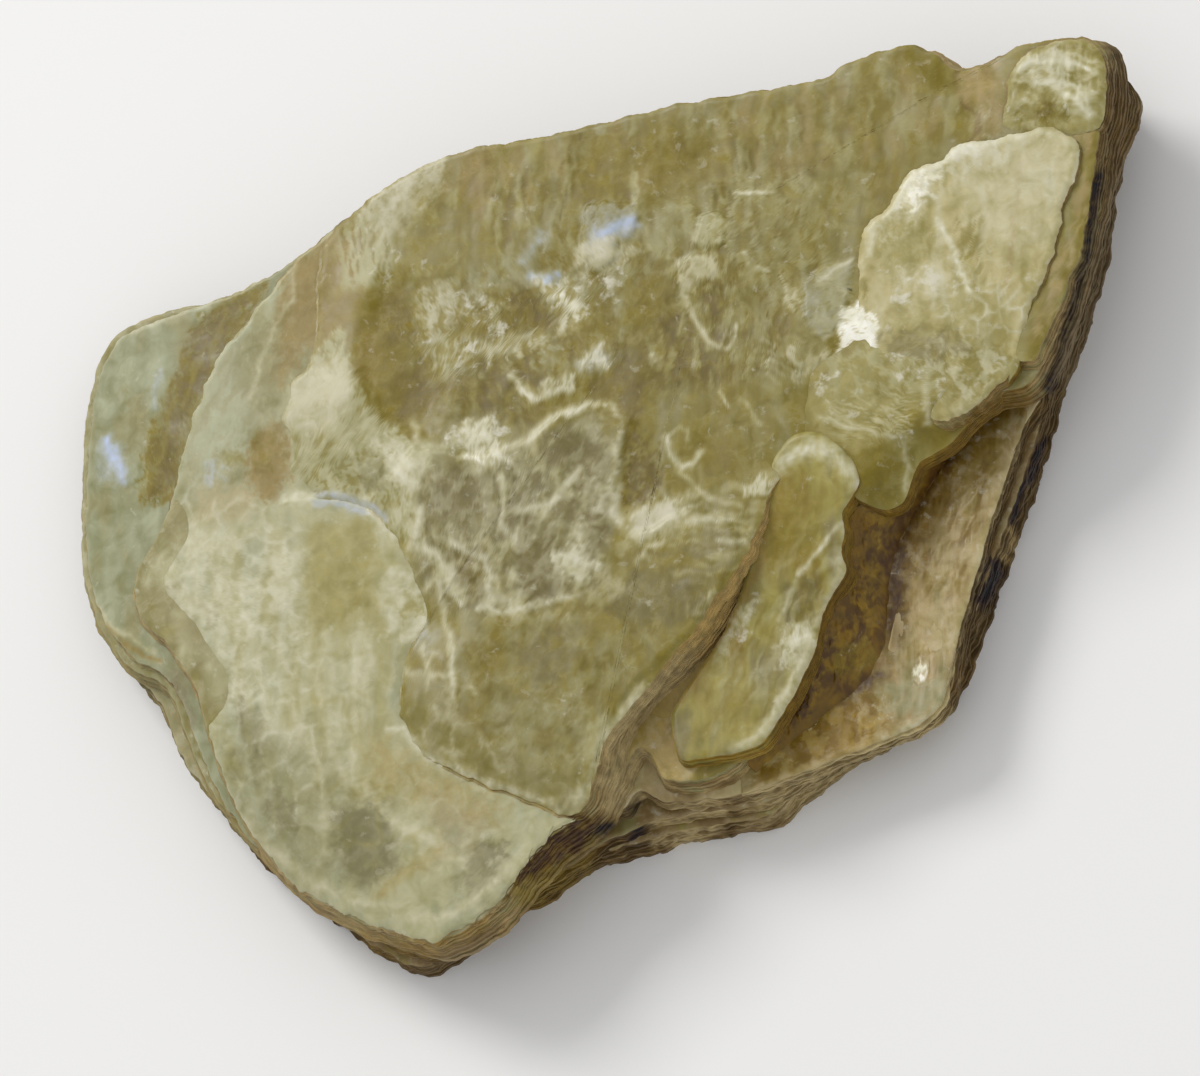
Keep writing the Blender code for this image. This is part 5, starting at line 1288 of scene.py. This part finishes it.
        patch("greyOlive", 0.75, 0.8, -2.2, -27.6, -1.2, -24.8, -7, -22.2, -11, -18.8, -12.8, -14.8, -16,
            -13.6, -16.4, -18.4, -12.8, -22, -8, -25.2),
        net("crackWhite", 0.5, (2, 2.4), 0.35, 0.8, -16, -11.6, -16.4, -18.4, -12.8, -22, -7, -25.2, -7,
            -22.2, -11, -18.8, -12, -13),
        patch("paleGreen", 0.6, 0.4, 24, 18.7, 20.6, 17.6, 20.4, 14, 21.3, 12.1, 22.7, 13, 23.6, 15.8),
        stroke("crackWhite", 0.7, 0.25, 21, 17.2, 23.9, 18.7),
        # painted glare: the white block again
        patch("brightWhite", 1, 0.22, 22.9, 14.4, 22.9, 9.7, 24.1, 9.2, 25.9, 10, 26.1, 13.7, 24.2, 14.6),
        crust("crackWhite", 0.3, 1.6, 0.4, 0.8, -22, 8.4, -15.6, 5.2, -4.4, 3.2, 1.8, 8, 3.2, 5.4, 3.2,
            -1.6, 9.6, -2.4, 1.8, -11.8, -9.2, -10.6, -14.8, -3.6, -20.4, 1.8),
        patch("troughOlive", 0.75, 0.4, -11.4, 17.7, -11, 16.2, -9.5, 15.7, -8.8, 17, -9.9, 18.3),
        crust("troughOlive", 0.6, 0.9, 0.4, 0.6, 2, 20.4, -5.2, 20.4, -9.6, 19, -15.2, 21.6, -15, 11.6, -11,
            11, -9.6, 13.8, 0, 12.6),
    ],
}
wholeLeaf("mainLeaf", mainLeaf)

longLeaf = {
    "foot": 8.2, "top": 9.8, "cells": 120, "centre": (14.5, -11), "jag": 0.08, "seed": 19, "lamina": 0.3, "step": 0.05, "lean": 0.4,
    "wall": "amber", "wear": 0.2, "wearWidth": 0.5, "relief": softRelief(0.08, 19), "tones": ("amber", "limeOlive", "oliveGrey"), "flake": 0.16, "crack": 0.1,
    "slopes": [(2.25, 17.0, path(17, 2, 20, 3.4, 23, 0.4))],
    "outline": path(16.2, 0.6, 17.2, 2.2, 18.4, 3.3, 19.8, 3.6, 21.4, 3, 22.8, 1.6, 23.9, 0, 24.2, -1.4,
        23.5, -2.6, 22.6, -3.8, 22.7, -5.4, 22.3, -7.2, 22.7, -8.6, 22.1, -9.8, 20.8, -11.4, 19.9, -13.6,
        19.4, -15.6, 18, -18.4, 16.4, -21, 14.9, -22.9, 12.9, -23.6, 9.3, -23.8, 7.6, -23.4, 6.9, -20,
        7.6, -18.3, 9.4, -15.8, 11.2, -13.3, 12.9, -10, 14.2, -6.6, 15.4, -3.1),
    "marks": [
        patch("amber", 0.5, 1.6, 19, -9, 15.5, -9, 15, 0, 18.5, 0.5, 20, -4),
        patch("smokeOlive", 0.8, 0.9, 17.4, -10, 20.4, -9.6, 21.2, -12, 19.6, -13.8, 17.6, -13),
        streak("paleGreen", 0.45, (0.9, 4), -26, 0.4, 1, 9, -23, 14, -12, 21, -4, 22, -10, 16, -22),
        streak("troughOlive", 0.5, (1, 5), -26, 0.36, 1, 9, -23, 15, -8, 20, 0, 22, -8, 16, -22),
        # painted glare: white patches standing in for a highlight on the leaf
        patch("crackWhite", 0.85, 0.8, 19.8, -13.6, 20.2, -15.4, 18.8, -17.6, 17, -17, 17.2, -14.2),
        patch("white", 0.7, 0.5, 19.8, -13.9, 19.6, -15.6, 18.2, -16, 18, -14.2),
        patch("cream", 0.8, 0.4, 12.6, -13.6, 12.2, -11.9, 13.4, -11.2, 15, -11.4, 14.4, -12.8),
        flake("crackWhite", 0.49, 0.5, 15.2, -11, 14.8, -13.4, 12.6, -16.4, 11, -16, 11.4, -12),
        patch("cream", 0.6, 0.5, 12.8, -13.6, 12.8, -15.6, 11.6, -16, 11.4, -14),
        stroke("crackWhite", 0.8, 0.24, 24.6, -2.4, 19, -9.2),
        stroke("cream", 0.7, 0.22, 18.6, -10, 17.2, -13),
        stroke("crackWhite", 0.9, 0.75, 17.5, 0.7, 18.4, 1.6, 19.5, 2.1, 20.6, 2.1, 21.8, 1.4, 23, 0.2, 24,
            -1.2, 24.4, -2.2),
        stroke("cream", 0.85, 0.55, 24, -3, 23, -4.6, 23.1, -6.4, 22.6, -8, 22.8, -9.4, 20.1, -14, 19.6,
            -15.6, 19.4, -17.4, 17.8, -20.4, 16, -23, 13.4, -24),
        stroke("crackWhite", 0.7, 0.3, 19.2, -17, 15.6, -22.8),
        stroke("orangeBrown", 0.7, 0.4, 15.4, -4.4, 15.6, -7.6, 14, -10.8, 8.4, -19.4),
    ],
}
wholeLeaf("longLeaf", longLeaf)

oliveLobe = {
    "foot": 8.4, "top": 11.9, "cells": 90, "centre": (27, 4), "jag": 0.08, "seed": 21, "lamina": 0.24,
    "wall": "amber", "step": 0.05, "lean": 0.3, "wear": 0.1, "wearWidth": 0.5, "tones": ("troughOlive", "olive", "springGreen"), "flake": 0.2, "crack": 0.12,
    "slopes": [(-1.7, 3.2, path(35.6, 5, 33.4, 3.4, 32, 2, 30.6, 1.2, 29, 0.4, 28.2, -1.2, 27.4, -2.8, 26,
        -3.4))],
    "outline": path(18, 11, 24, 12, 28, 12, 34, 10, 38, 8.4, 38, 6.8, 35.6, 5, 33.4, 3.4, 32, 2, 30.6,
        1.2, 29, 0.4, 28.2, -1.2, 27.4, -2.8, 26, -3.4, 24.4, -3, 22.6, -1.6, 20.6, 0, 18.4, 1.4, 16.4,
        3.4, 17, 6),
    "marks": [
        patch("springGreen", 0.6, 1.6, 21, 12, 21, 6, 30, 5, 39, 5, 39, 12),
        crust("paleGreen", 0.6, 1.2, 0.4, 1, 21, 11, 22, 6, 30, 5, 38, 6, 38, 11),
        streak("springGreen", 0.8, (0.45, 5), 62, 0.5, 1, 21, 6.5, 29.5, 6.5, 29, 1.5, 22, 2),
        streak("cream", 0.6, (0.25, 4), 62, 0.3, 0.8, 29.4, 6.6, 28.6, 1.8, 22, 2.6, 21.6, 6),
        patch("troughOlive", 0.8, 1, 26.5, -3.5, 22, -2, 18.5, 1.5, 19.5, 4, 22, 2.5, 27, 0.5),
        stroke("crackWhite", 0.7, 0.3, 30.4, 8.4, 30.2, 6, 30.3, 3),
        flake("crackWhite", 0.61, 0.5, 27.2, 2.8, 29, 2.8, 29, 0.8, 27.2, 0.8),
        stroke("cream", 0.7, 0.3, 28.2, 1.4, 28.5, -0.4, 28.2, -2.6),
        flake("crackWhite", 0.61, 0.5, 30, 7, 28, 7, 26.4, 8.4, 26.6, 10.2, 29.6, 10),
        flake("cream", 0.49, 0.5, 22.8, 8.8, 22.6, 6.4, 20.2, 6.4, 20.2, 8.8),
        flake("cream", 0.54, 0.8, 37.6, 8, 30.6, 10, 30.6, 3.6, 34, 4.6),
        stroke("crackWhite", 0.6, 0.2, 21, 4.6, 27.6, 2),
    ],
}


def lobeRelief(x, y, rim):
    # high beside the pale leaf, falling towards the lower rim
    fall = 0.7 * smooth(-6, 3, y) - 0.7
    return fall + softRelief(0.08, 21)(x, y, rim)


oliveLobe["relief"] = lobeRelief
wholeLeaf("oliveLobe", oliveLobe)

terraceTop = {
    "foot": 5.9, "top": 6.45, "along": 260, "across": 130, "jag": 0.10, "seed": 23, "lamina": 0.2,
    "wall": "litSand", "relief": softRelief(0.2, 23, 0.03), "drawnAt": 6.3, "cloud": 1.3, "tones": ("brownOlive", "beige", "greyOlive"),
    "outer": path(12, -26.1, 17, -24.9, 21, -23.7, 25.8, -22.3, 28.4, -21.2, 29.8, -19.6, 30.4, -17, 31.1,
        -14.4, 32.1, -11, 33.5, -6.6, 34.9, -2.2, 37.2, 4.3, 38.2, 7),
    "inner": path(12, -22.6, 15, -20.4, 17, -19, 18.6, -17, 20, -15, 21, -12.6, 21.8, -10, 22.4, -7.6, 23,
        -5, 24.6, -2, 27, 1, 31, 4.6, 34.6, 7.4),
    "marks": [
        patch("brownOlive", 0.8, 1.6, 35, 5, 36, 0, 33, -9, 27, -11, 26, -6, 30, 2),
        patch("amber", 0.7, 1.3, 35.5, 4.5, 35, -0.5, 33, -3.5, 29.5, -3, 31, 2.5),
        streak("slopeBrown", 0.6, (1, 3.5), -24, 0.45, 1.2, 36, 5, 32, -11, 26, -12, 25.5, -8, 30, 2),
        streak("sand", 0.7, (0.7, 3), -30, 0.4, 1, 36, 1, 32, -12, 27, -10, 31, -1),
        patch("sand", 0.8, 1.2, 25.5, -12.5, 26, -16, 30.5, -16, 31.5, -13, 29, -12),
        crust("amber", 0.5, 1.6, 0.4, 0.8, 32, -8, 31, -16, 25, -16, 25, -9),
        stroke("sand", 0.9, 0.9, 36.4, 3, 34.4, -4, 31.8, -11.6),
        stroke("warmCream", 0.9, 0.5, 36, -0.4, 35, -3.6, 33.6, -6.4, 33, -9, 31, -14.6),
        patch("brightWhite", 1, 0.3, 27.1, -17.9, 27.3, -16.4, 28.1, -15.6, 28.7, -16.2, 28.3, -17.6),
        stroke("cream", 0.9, 0.5, 24, -22.8, 26.4, -22, 28.6, -21, 29.8, -19.2),
        patch("honey", 0.8, 1.4, 25, -19, 24, -23, 18, -25, 14, -25.5, 14, -21, 16, -19.5, 22, -18.5),
        crust("darkHoney", 0.8, 1.6, 0.45, 1, 24, -18, 25, -22, 18, -25, 13, -26, 13, -21),
        patch("orangeBrown", 0.8, 0.6, 20, -24.4, 20.2, -20.4, 21.6, -20.4, 21.8, -24),
        flake("crackWhite", 0.43, 0.6, 15, -23.4, 15.4, -25, 17.4, -24.6, 17, -23),
        stroke("sand", 0.8, 0.6, 13, -26, 25, -22.9),
        stroke("slopeBrown", 0.95, 1.9, 22, -17.4, 24, -15.4, 25, -12, 25.8, -6, 27.6, -2.8, 30.8, 2, 34, 5,
            37, 6.6),
        patch("sand", 0.8, 0.8, 26.4, -10.2, 31, -11.2, 30.6, -14.4, 26.4, -13.8),
        patch("greyGreen", 0.8, 0.8, 30.4, -19.6, 27.6, -20.8, 24.4, -20.2, 24, -17.8, 30, -17.8),
        # painted shade along the crease under the slope and along its foot
        stroke("creaseBrown", 0.85, 0.9, 31.5, 3.4, 29, 0.3, 26.9, -2.9, 25.8, -5.8, 25.6, -13.1),
        stroke("creaseBrown", 0.8, 0.6, 14, -20.2, 18, -19.4, 24.5, -16.8),
    ],
}
bandLeaf("terraceTop", terraceTop)

amberSlope = {
    "foot": 5.2, "top": 8.0, "along": 300, "across": 90, "jag": 0.25, "seed": 25, "lamina": 0.3,
    "wall": "dark", "edge": 0.0, "raised": 0.5, "cloud": 1.6, "flake": 0.0, "crack": 0.0,
    "tones": ("darkHoney", "darkHoney", "honey"), "drawnAt": 6.3,
    "upperY": (-23, -19, -14, -8, -2, 2, 8),
    "upperZ": (8.3, 8.8, 9.3, 9.8, 10.2, 10.3, 10.4),
    "lowerZ": 6.35,
    "outer": path(13.4, -24.6, 15.6, -22.9, 18.4, -20.6, 21.2, -18.7, 23.6, -17, 24.8, -14.2, 25.2, -9.8,
        25.8, -6.2, 27.4, -2.8, 30.8, 2.2, 33.9, 5, 37, 6.4),
    "inner": path(11.6, -22.4, 13.8, -21.2, 16, -18.8, 18.2, -15.6, 19.4, -12, 20.8, -9, 21.6, -6.4, 22.2,
        -3.6, 25, -2.2, 28.6, 1.2, 32.6, 4.8, 36.6, 8),
    "marks": [
        # the crease tone here is painted shade: in the crease at the slope's foot and in its hollows
        stroke("creaseBrown", 0.9, 1.3, 25.2, -9, 25.8, -6, 27.4, -2.8, 30.8, 2.2, 33.6, 4.8, 37, 6.4),
        stroke("slopeBrown", 0.8, 1.4, 15.8, -22, 18.4, -20.4, 23.4, -16.9, 24.8, -13.8, 25.1, -9.6),
        crust("slopeBrown", 0.7, 1.8, 0.5, 1, 28, -1, 26, -6, 24.5, -15, 21, -15, 20, -10, 24, -4),
        crust("creaseBrown", 0.5, 1.4, 0.45, 0.8, 17.6, -18.8, 16.8, -17, 21.6, -8.4, 22.6, -4.8, 23, -0.8,
            26, -0.6, 27.8, -3.6, 25.8, -7.6, 25.6, -13.6),
        patch("olive", 0.45, 0.5, 24, -16, 21.6, -16.9, 19.3, -16.1, 19.9, -13.7, 22.9, -13.4),
        crust("orangeBrown", 0.35, 1, 0.35, 0.8, 23, -1.8, 26, -2.8, 25.2, -7.6, 25.2, -13.6, 21.6, -14.4,
            21.6, -9.6),
        patch("creaseBrown", 0.7, 0.5, 16.2, -20, 17.5, -16.5, 19.6, -13.1, 20.5, -13.5, 19, -16, 17.7,
            -20.1),
        patch("creaseBrown", 0.6, 0.5, 21, -19, 20.4, -17.4, 24, -16.3, 25.6, -13.7, 26.4, -15, 24.6,
            -17.9),
    ],
}


def slopeRelief(x, y, rim):
    # from the terrace up to the rims above, by the share of nearness to the foot against the top,
    # with ribs and lumps that die out at both ends
    below, above = (lineDistance(x, y, amberSlope[path]) for path in ("outer", "inner"))
    share = below / (below + above + 1e-6)
    upper = np.interp(y, amberSlope["upperY"], amberSlope["upperZ"])
    rough = roughNoise(x / 2.2, y / 3.0, amberSlope["seed"], 4, 0.6) + 0.4 * roughNoise(x / 0.8, y / 1.4, 31, 3, 0.6)
    height = amberSlope["lowerZ"] + (upper - amberSlope["lowerZ"]) * share ** 0.85
    return height + 0.3 * rough * (4 * share * (1 - share) + 0.1) - amberSlope["top"]


amberSlope["relief"] = slopeRelief
bandLeaf("amberSlope", amberSlope)

paleLeaf = {
    "foot": 10.4, "top": 12.6, "cells": 130, "centre": (34, 16), "jag": 0.22, "step": 0.05, "lean": 0.5, "wear": 0.2, "wearWidth": 0.6, "seed": 27, "lamina": 0.18,
    "wall": "pale", "relief": softRelief(0.10, 27), "tones": ("springGreen", "warmCream", "cream"),
    "slopes": [(-0.75, 7.0, path(23.6, 11, 26, 8.4, 30, 7, 30.4, 4, 33.5, 3.9, 36, 5.6, 38.2, 8))],
    "outline": path(24.6, 19, 25.2, 21.4, 27, 22.6, 28, 24, 29, 25.6, 30.5, 26.2, 32.3, 26.8, 33.6, 27.8,
        37, 28.1, 41, 28.4, 42.5, 28, 43.7, 27, 44.2, 25.8, 44, 24.5, 43.2, 22.5, 42.2, 19, 41, 15.5,
        39.5, 12, 38.2, 8, 37.2, 6.4, 35.3, 4.9, 33.5, 3.9, 31.5, 3.2, 30.4, 4, 30.2, 7, 29, 8.6, 26, 8.4,
        24, 9.4, 23.4, 11, 24.4, 15),
    "marks": [
        patch("springGreen", 0.85, 0.9, 26, 17.6, 26.4, 21, 28.4, 22.6, 31, 21.4, 31.4, 18, 29, 17),
        streak("olive", 0.7, (0.4, 4), -20, 0.45, 0.7, 33, 15, 33, 21.4, 35.4, 21.4, 35.4, 15),
        patch("springGreen", 0.6, 1.4, 32, 4.5, 28, 9, 29, 14, 35, 15, 38, 12, 36, 7),
        flake("crackWhite", 0.5, 0.8, 26.6, 13.6, 27, 17.8, 33.4, 17.8, 34, 14),
        flake("white", 0.6, 0.5, 27.8, 15.6, 28.4, 17.4, 33.2, 16.4, 32, 14.8),
        net("crackWhite", 0.7, (1.6, 1.8), 0.24, 0.8, 30, 4, 29, 15, 38, 15, 40, 12, 37, 6),
        stroke("white", 0.8, 0.34, 31.4, 21.4, 32.4, 19.4, 34.2, 14.6),
        # painted glare: the white block, a highlight painted near pure white
        patch("brightWhite", 0.95, 0.35, 23, 14.3, 24.5, 14.4, 24.8, 13.4, 25.8, 13.6, 25.7, 12, 26, 11,
            25.2, 9.7, 24, 9.2, 23, 9.6, 22.5, 10.3, 23, 12),
        patch("olive", 0.7, 0.4, 25.2, 16.6, 25, 15.2, 24, 15.4, 24.2, 16.6),
        flake("brightWhite", 0.8, 0.7, 27.6, 23, 28.6, 26, 31, 27, 32, 26, 30.4, 23.6),
        patch("brightWhite", 0.9, 0.5, 29.2, 22, 28, 23, 28.4, 25, 29.6, 26.4, 31.4, 26.8, 32, 25.8, 30.6,
            23.6),
        patch("white", 0.85, 0.4, 32.4, 26.4, 33, 28, 36.6, 28.6, 37.4, 27.8),
        patch("olive", 0.6, 2.2, 38, 4, 30, 3, 24, 7, 24, 10, 38, 9.5),
        flake("brightWhite", 0.77, 0.6, 31.6, 26.2, 32.6, 28.2, 36.4, 28.8, 36.4, 26.8),
        crust("crackWhite", 0.6, 1.2, 0.45, 0.8, 25.4, 18.6, 26, 21.6, 29.4, 25.8, 34, 28, 38, 28.4, 38,
            25.6, 33, 25, 30.6, 23, 28.6, 20),
        stroke("white", 0.6, 0.35, 25.4, 19, 25.8, 21.2, 27.6, 23, 29, 25.4, 33.4, 27.6, 37, 28),
        stroke("white", 0.5, 0.4, 37, 28.1, 41, 28.3, 43, 27.4, 44, 25.6, 43.6, 23.4),
        stroke("beige", 0.5, 0.24, 38.8, 25.6, 38.2, 20, 37.4, 15),
        # painted glare: the white block again
        patch("brightWhite", 1, 0.22, 22.9, 14.4, 22.9, 9.7, 24.1, 9.2, 25.9, 10, 26.1, 13.7, 24.2, 14.6),
        crust("crackWhite", 0.6, 1.4, 0.45, 0.6, 26.2, 10, 26.2, 5.2, 35.2, 4.8, 37.4, 8, 35.4, 10),
        patch("oliveGrey", 0.6, 0.5, 34, 9.1, 32.6, 11, 29.1, 11.8, 26.2, 11.4, 27.3, 8.8, 30.4, 8.4),
        patch("crackWhite", 0.38, 1.6, 32.5, 27.5, 37, 28.5, 41.5, 28.5, 44.5, 26.5, 43.5, 22, 42, 18, 38.5,
            17, 35, 20, 32.5, 24),
        patch("springGreen", 0.4, 0.8, 26, 17.6, 29.2, 17.2, 30.6, 20, 28.4, 22.4, 26.4, 21.2),
    ],
}
wholeLeaf("paleLeaf", paleLeaf)

knobLeaf = {
    "foot": 11.5, "top": 12.9, "cells": 60, "centre": (42.8, 32), "jag": 0.16, "seed": 29, "lamina": 0.3, "step": 0.06, "lean": 0.5, "wear": 0.25, "wearWidth": 0.8,
    "wall": "pale", "relief": softRelief(0.16, 29, 0.05), "tones": ("springGreen", "springGreen", "cream"), "bands": 0.2,
    "slopes": [(-0.6, 3.0, path(38, 28.4, 42, 27.4, 46, 28))],
    "outline": path(37.6, 28.8, 37.9, 31.6, 38.5, 34.2, 40.4, 35.7, 43.4, 36.2, 45.6, 35.3, 46.7, 33.2,
        46.5, 30, 45.6, 27.9, 43, 27.6, 40, 28.1),
    "marks": [
        patch("olive", 0.7, 0.8, 38, 32.6, 39, 34.8, 45, 34, 45.6, 32, 42, 32),
        flake("white", 0.5, 0.7, 43, 32.2, 43, 29, 37, 29.2, 37.2, 32),
        flake("brightWhite", 0.67, 0.5, 38.8, 34.8, 39.2, 36.6, 42, 36.6, 42, 35),
        stroke("white", 0.9, 0.3, 38.8, 34.3, 40, 34.8, 42, 34.7, 44, 34, 45.4, 33.2),
        stroke("crackWhite", 0.9, 0.3, 40.4, 32.9, 43.6, 32.2, 44.6, 31, 45, 29.4),
        streak("crackWhite", 0.5, (0.6, 3), 70, 0.4, 0.7, 38, 29, 38, 36, 46, 36, 46, 29),
        patch("crackWhite", 0.7, 0.4, 44.2, 34.1, 42.1, 35.5, 39.3, 35.8, 38.9, 33.3, 40.7, 32.3, 42.8,
            32.4),
        patch("olive", 0.8, 0.4, 37.8, 29.8, 40.6, 28.7, 43.4, 29, 42.8, 31.3, 40.3, 32),
        stroke("olive", 0.8, 0.45, 40, 36.1, 43.5, 35.9, 46, 34.9, 46.7, 33, 45.9, 30.9),
        stroke("white", 0.85, 0.35, 42.1, 32.1, 43.8, 30.8, 44.8, 29.2),
        patch("deepOlive", 0.7, 0.35, 42, 29.2, 42, 30.7, 40.6, 31.2, 40.3, 29.8),
    ],
}
wholeLeaf("knobLeaf", knobLeaf)
print("leaves built")


floorMaterial = bpy.data.materials.new("paleFloor")
floorMaterial.use_nodes = True
floorShader = floorMaterial.node_tree.nodes["Principled BSDF"]
floorShader.inputs["Base Color"].default_value = (0.86, 0.86, 0.86, 1)
floorShader.inputs["Roughness"].default_value = 0.9
floorMesh = bpy.data.meshes.new("floor")
floorMesh.from_pydata([(-3, -3, 0), (3, -3, 0), (3, 3, 0), (-3, 3, 0)], [], [(0, 1, 2, 3)])
floorMesh.materials.append(floorMaterial)
floor = bpy.data.objects.new("floor", floorMesh)
bpy.context.scene.collection.objects.link(floor)

studio = {
    "keyFrom": (-0.60, 0.70, 0.80),
    "keySize": 0.5,
    "keyPower": 8.0,
    "keyColour": (1.0, 0.98, 0.94),
    "world": (1.0, 1.0, 1.0, 1.0),
    "worldStrength": 0.66,
}
lamp = bpy.data.lights.new("key", "AREA")
lamp.size = studio["keySize"]
lamp.energy = studio["keyPower"]
lamp.color = studio["keyColour"]
keyLight = bpy.data.objects.new("key", lamp)
keyLight.location = studio["keyFrom"]
keyLight.rotation_mode = "QUATERNION"
keyLight.rotation_quaternion = Vector(studio["keyFrom"]).to_track_quat("Z", "Y")
bpy.context.scene.collection.objects.link(keyLight)
world = bpy.data.worlds.new("studio")
world.use_nodes = True
world.node_tree.nodes["Background"].inputs["Color"].default_value = studio["world"]
world.node_tree.nodes["Background"].inputs["Strength"].default_value = studio["worldStrength"]
bpy.context.scene.world = world
bpy.context.scene.view_settings.view_transform = "Standard"

view = {"sensor": 36.0, "lens": 263.25, "below": 2.22}
back = Vector(lookingBack())
up = (Vector((0, 1, 0)) - back * back.y).normalized()
right = up.cross(back)
aim = Vector(drawing["aim"]) + Vector((*block["planShift"], 0))
cameraData = bpy.data.cameras.new("camera")
cameraData.sensor_width = view["sensor"]
cameraData.lens = view["lens"]
cameraData.clip_start, cameraData.clip_end = 0.05, 20
camera = bpy.data.objects.new("camera", cameraData)
turned = Matrix((right, up, back)).transposed()
camera.matrix_world = Matrix.Translation((aim + back * drawing["distance"] - up * view["below"]) * block["mm"]) @ turned.to_4x4()
bpy.context.scene.collection.objects.link(camera)
bpy.context.scene.camera = camera
print("light and camera ready")
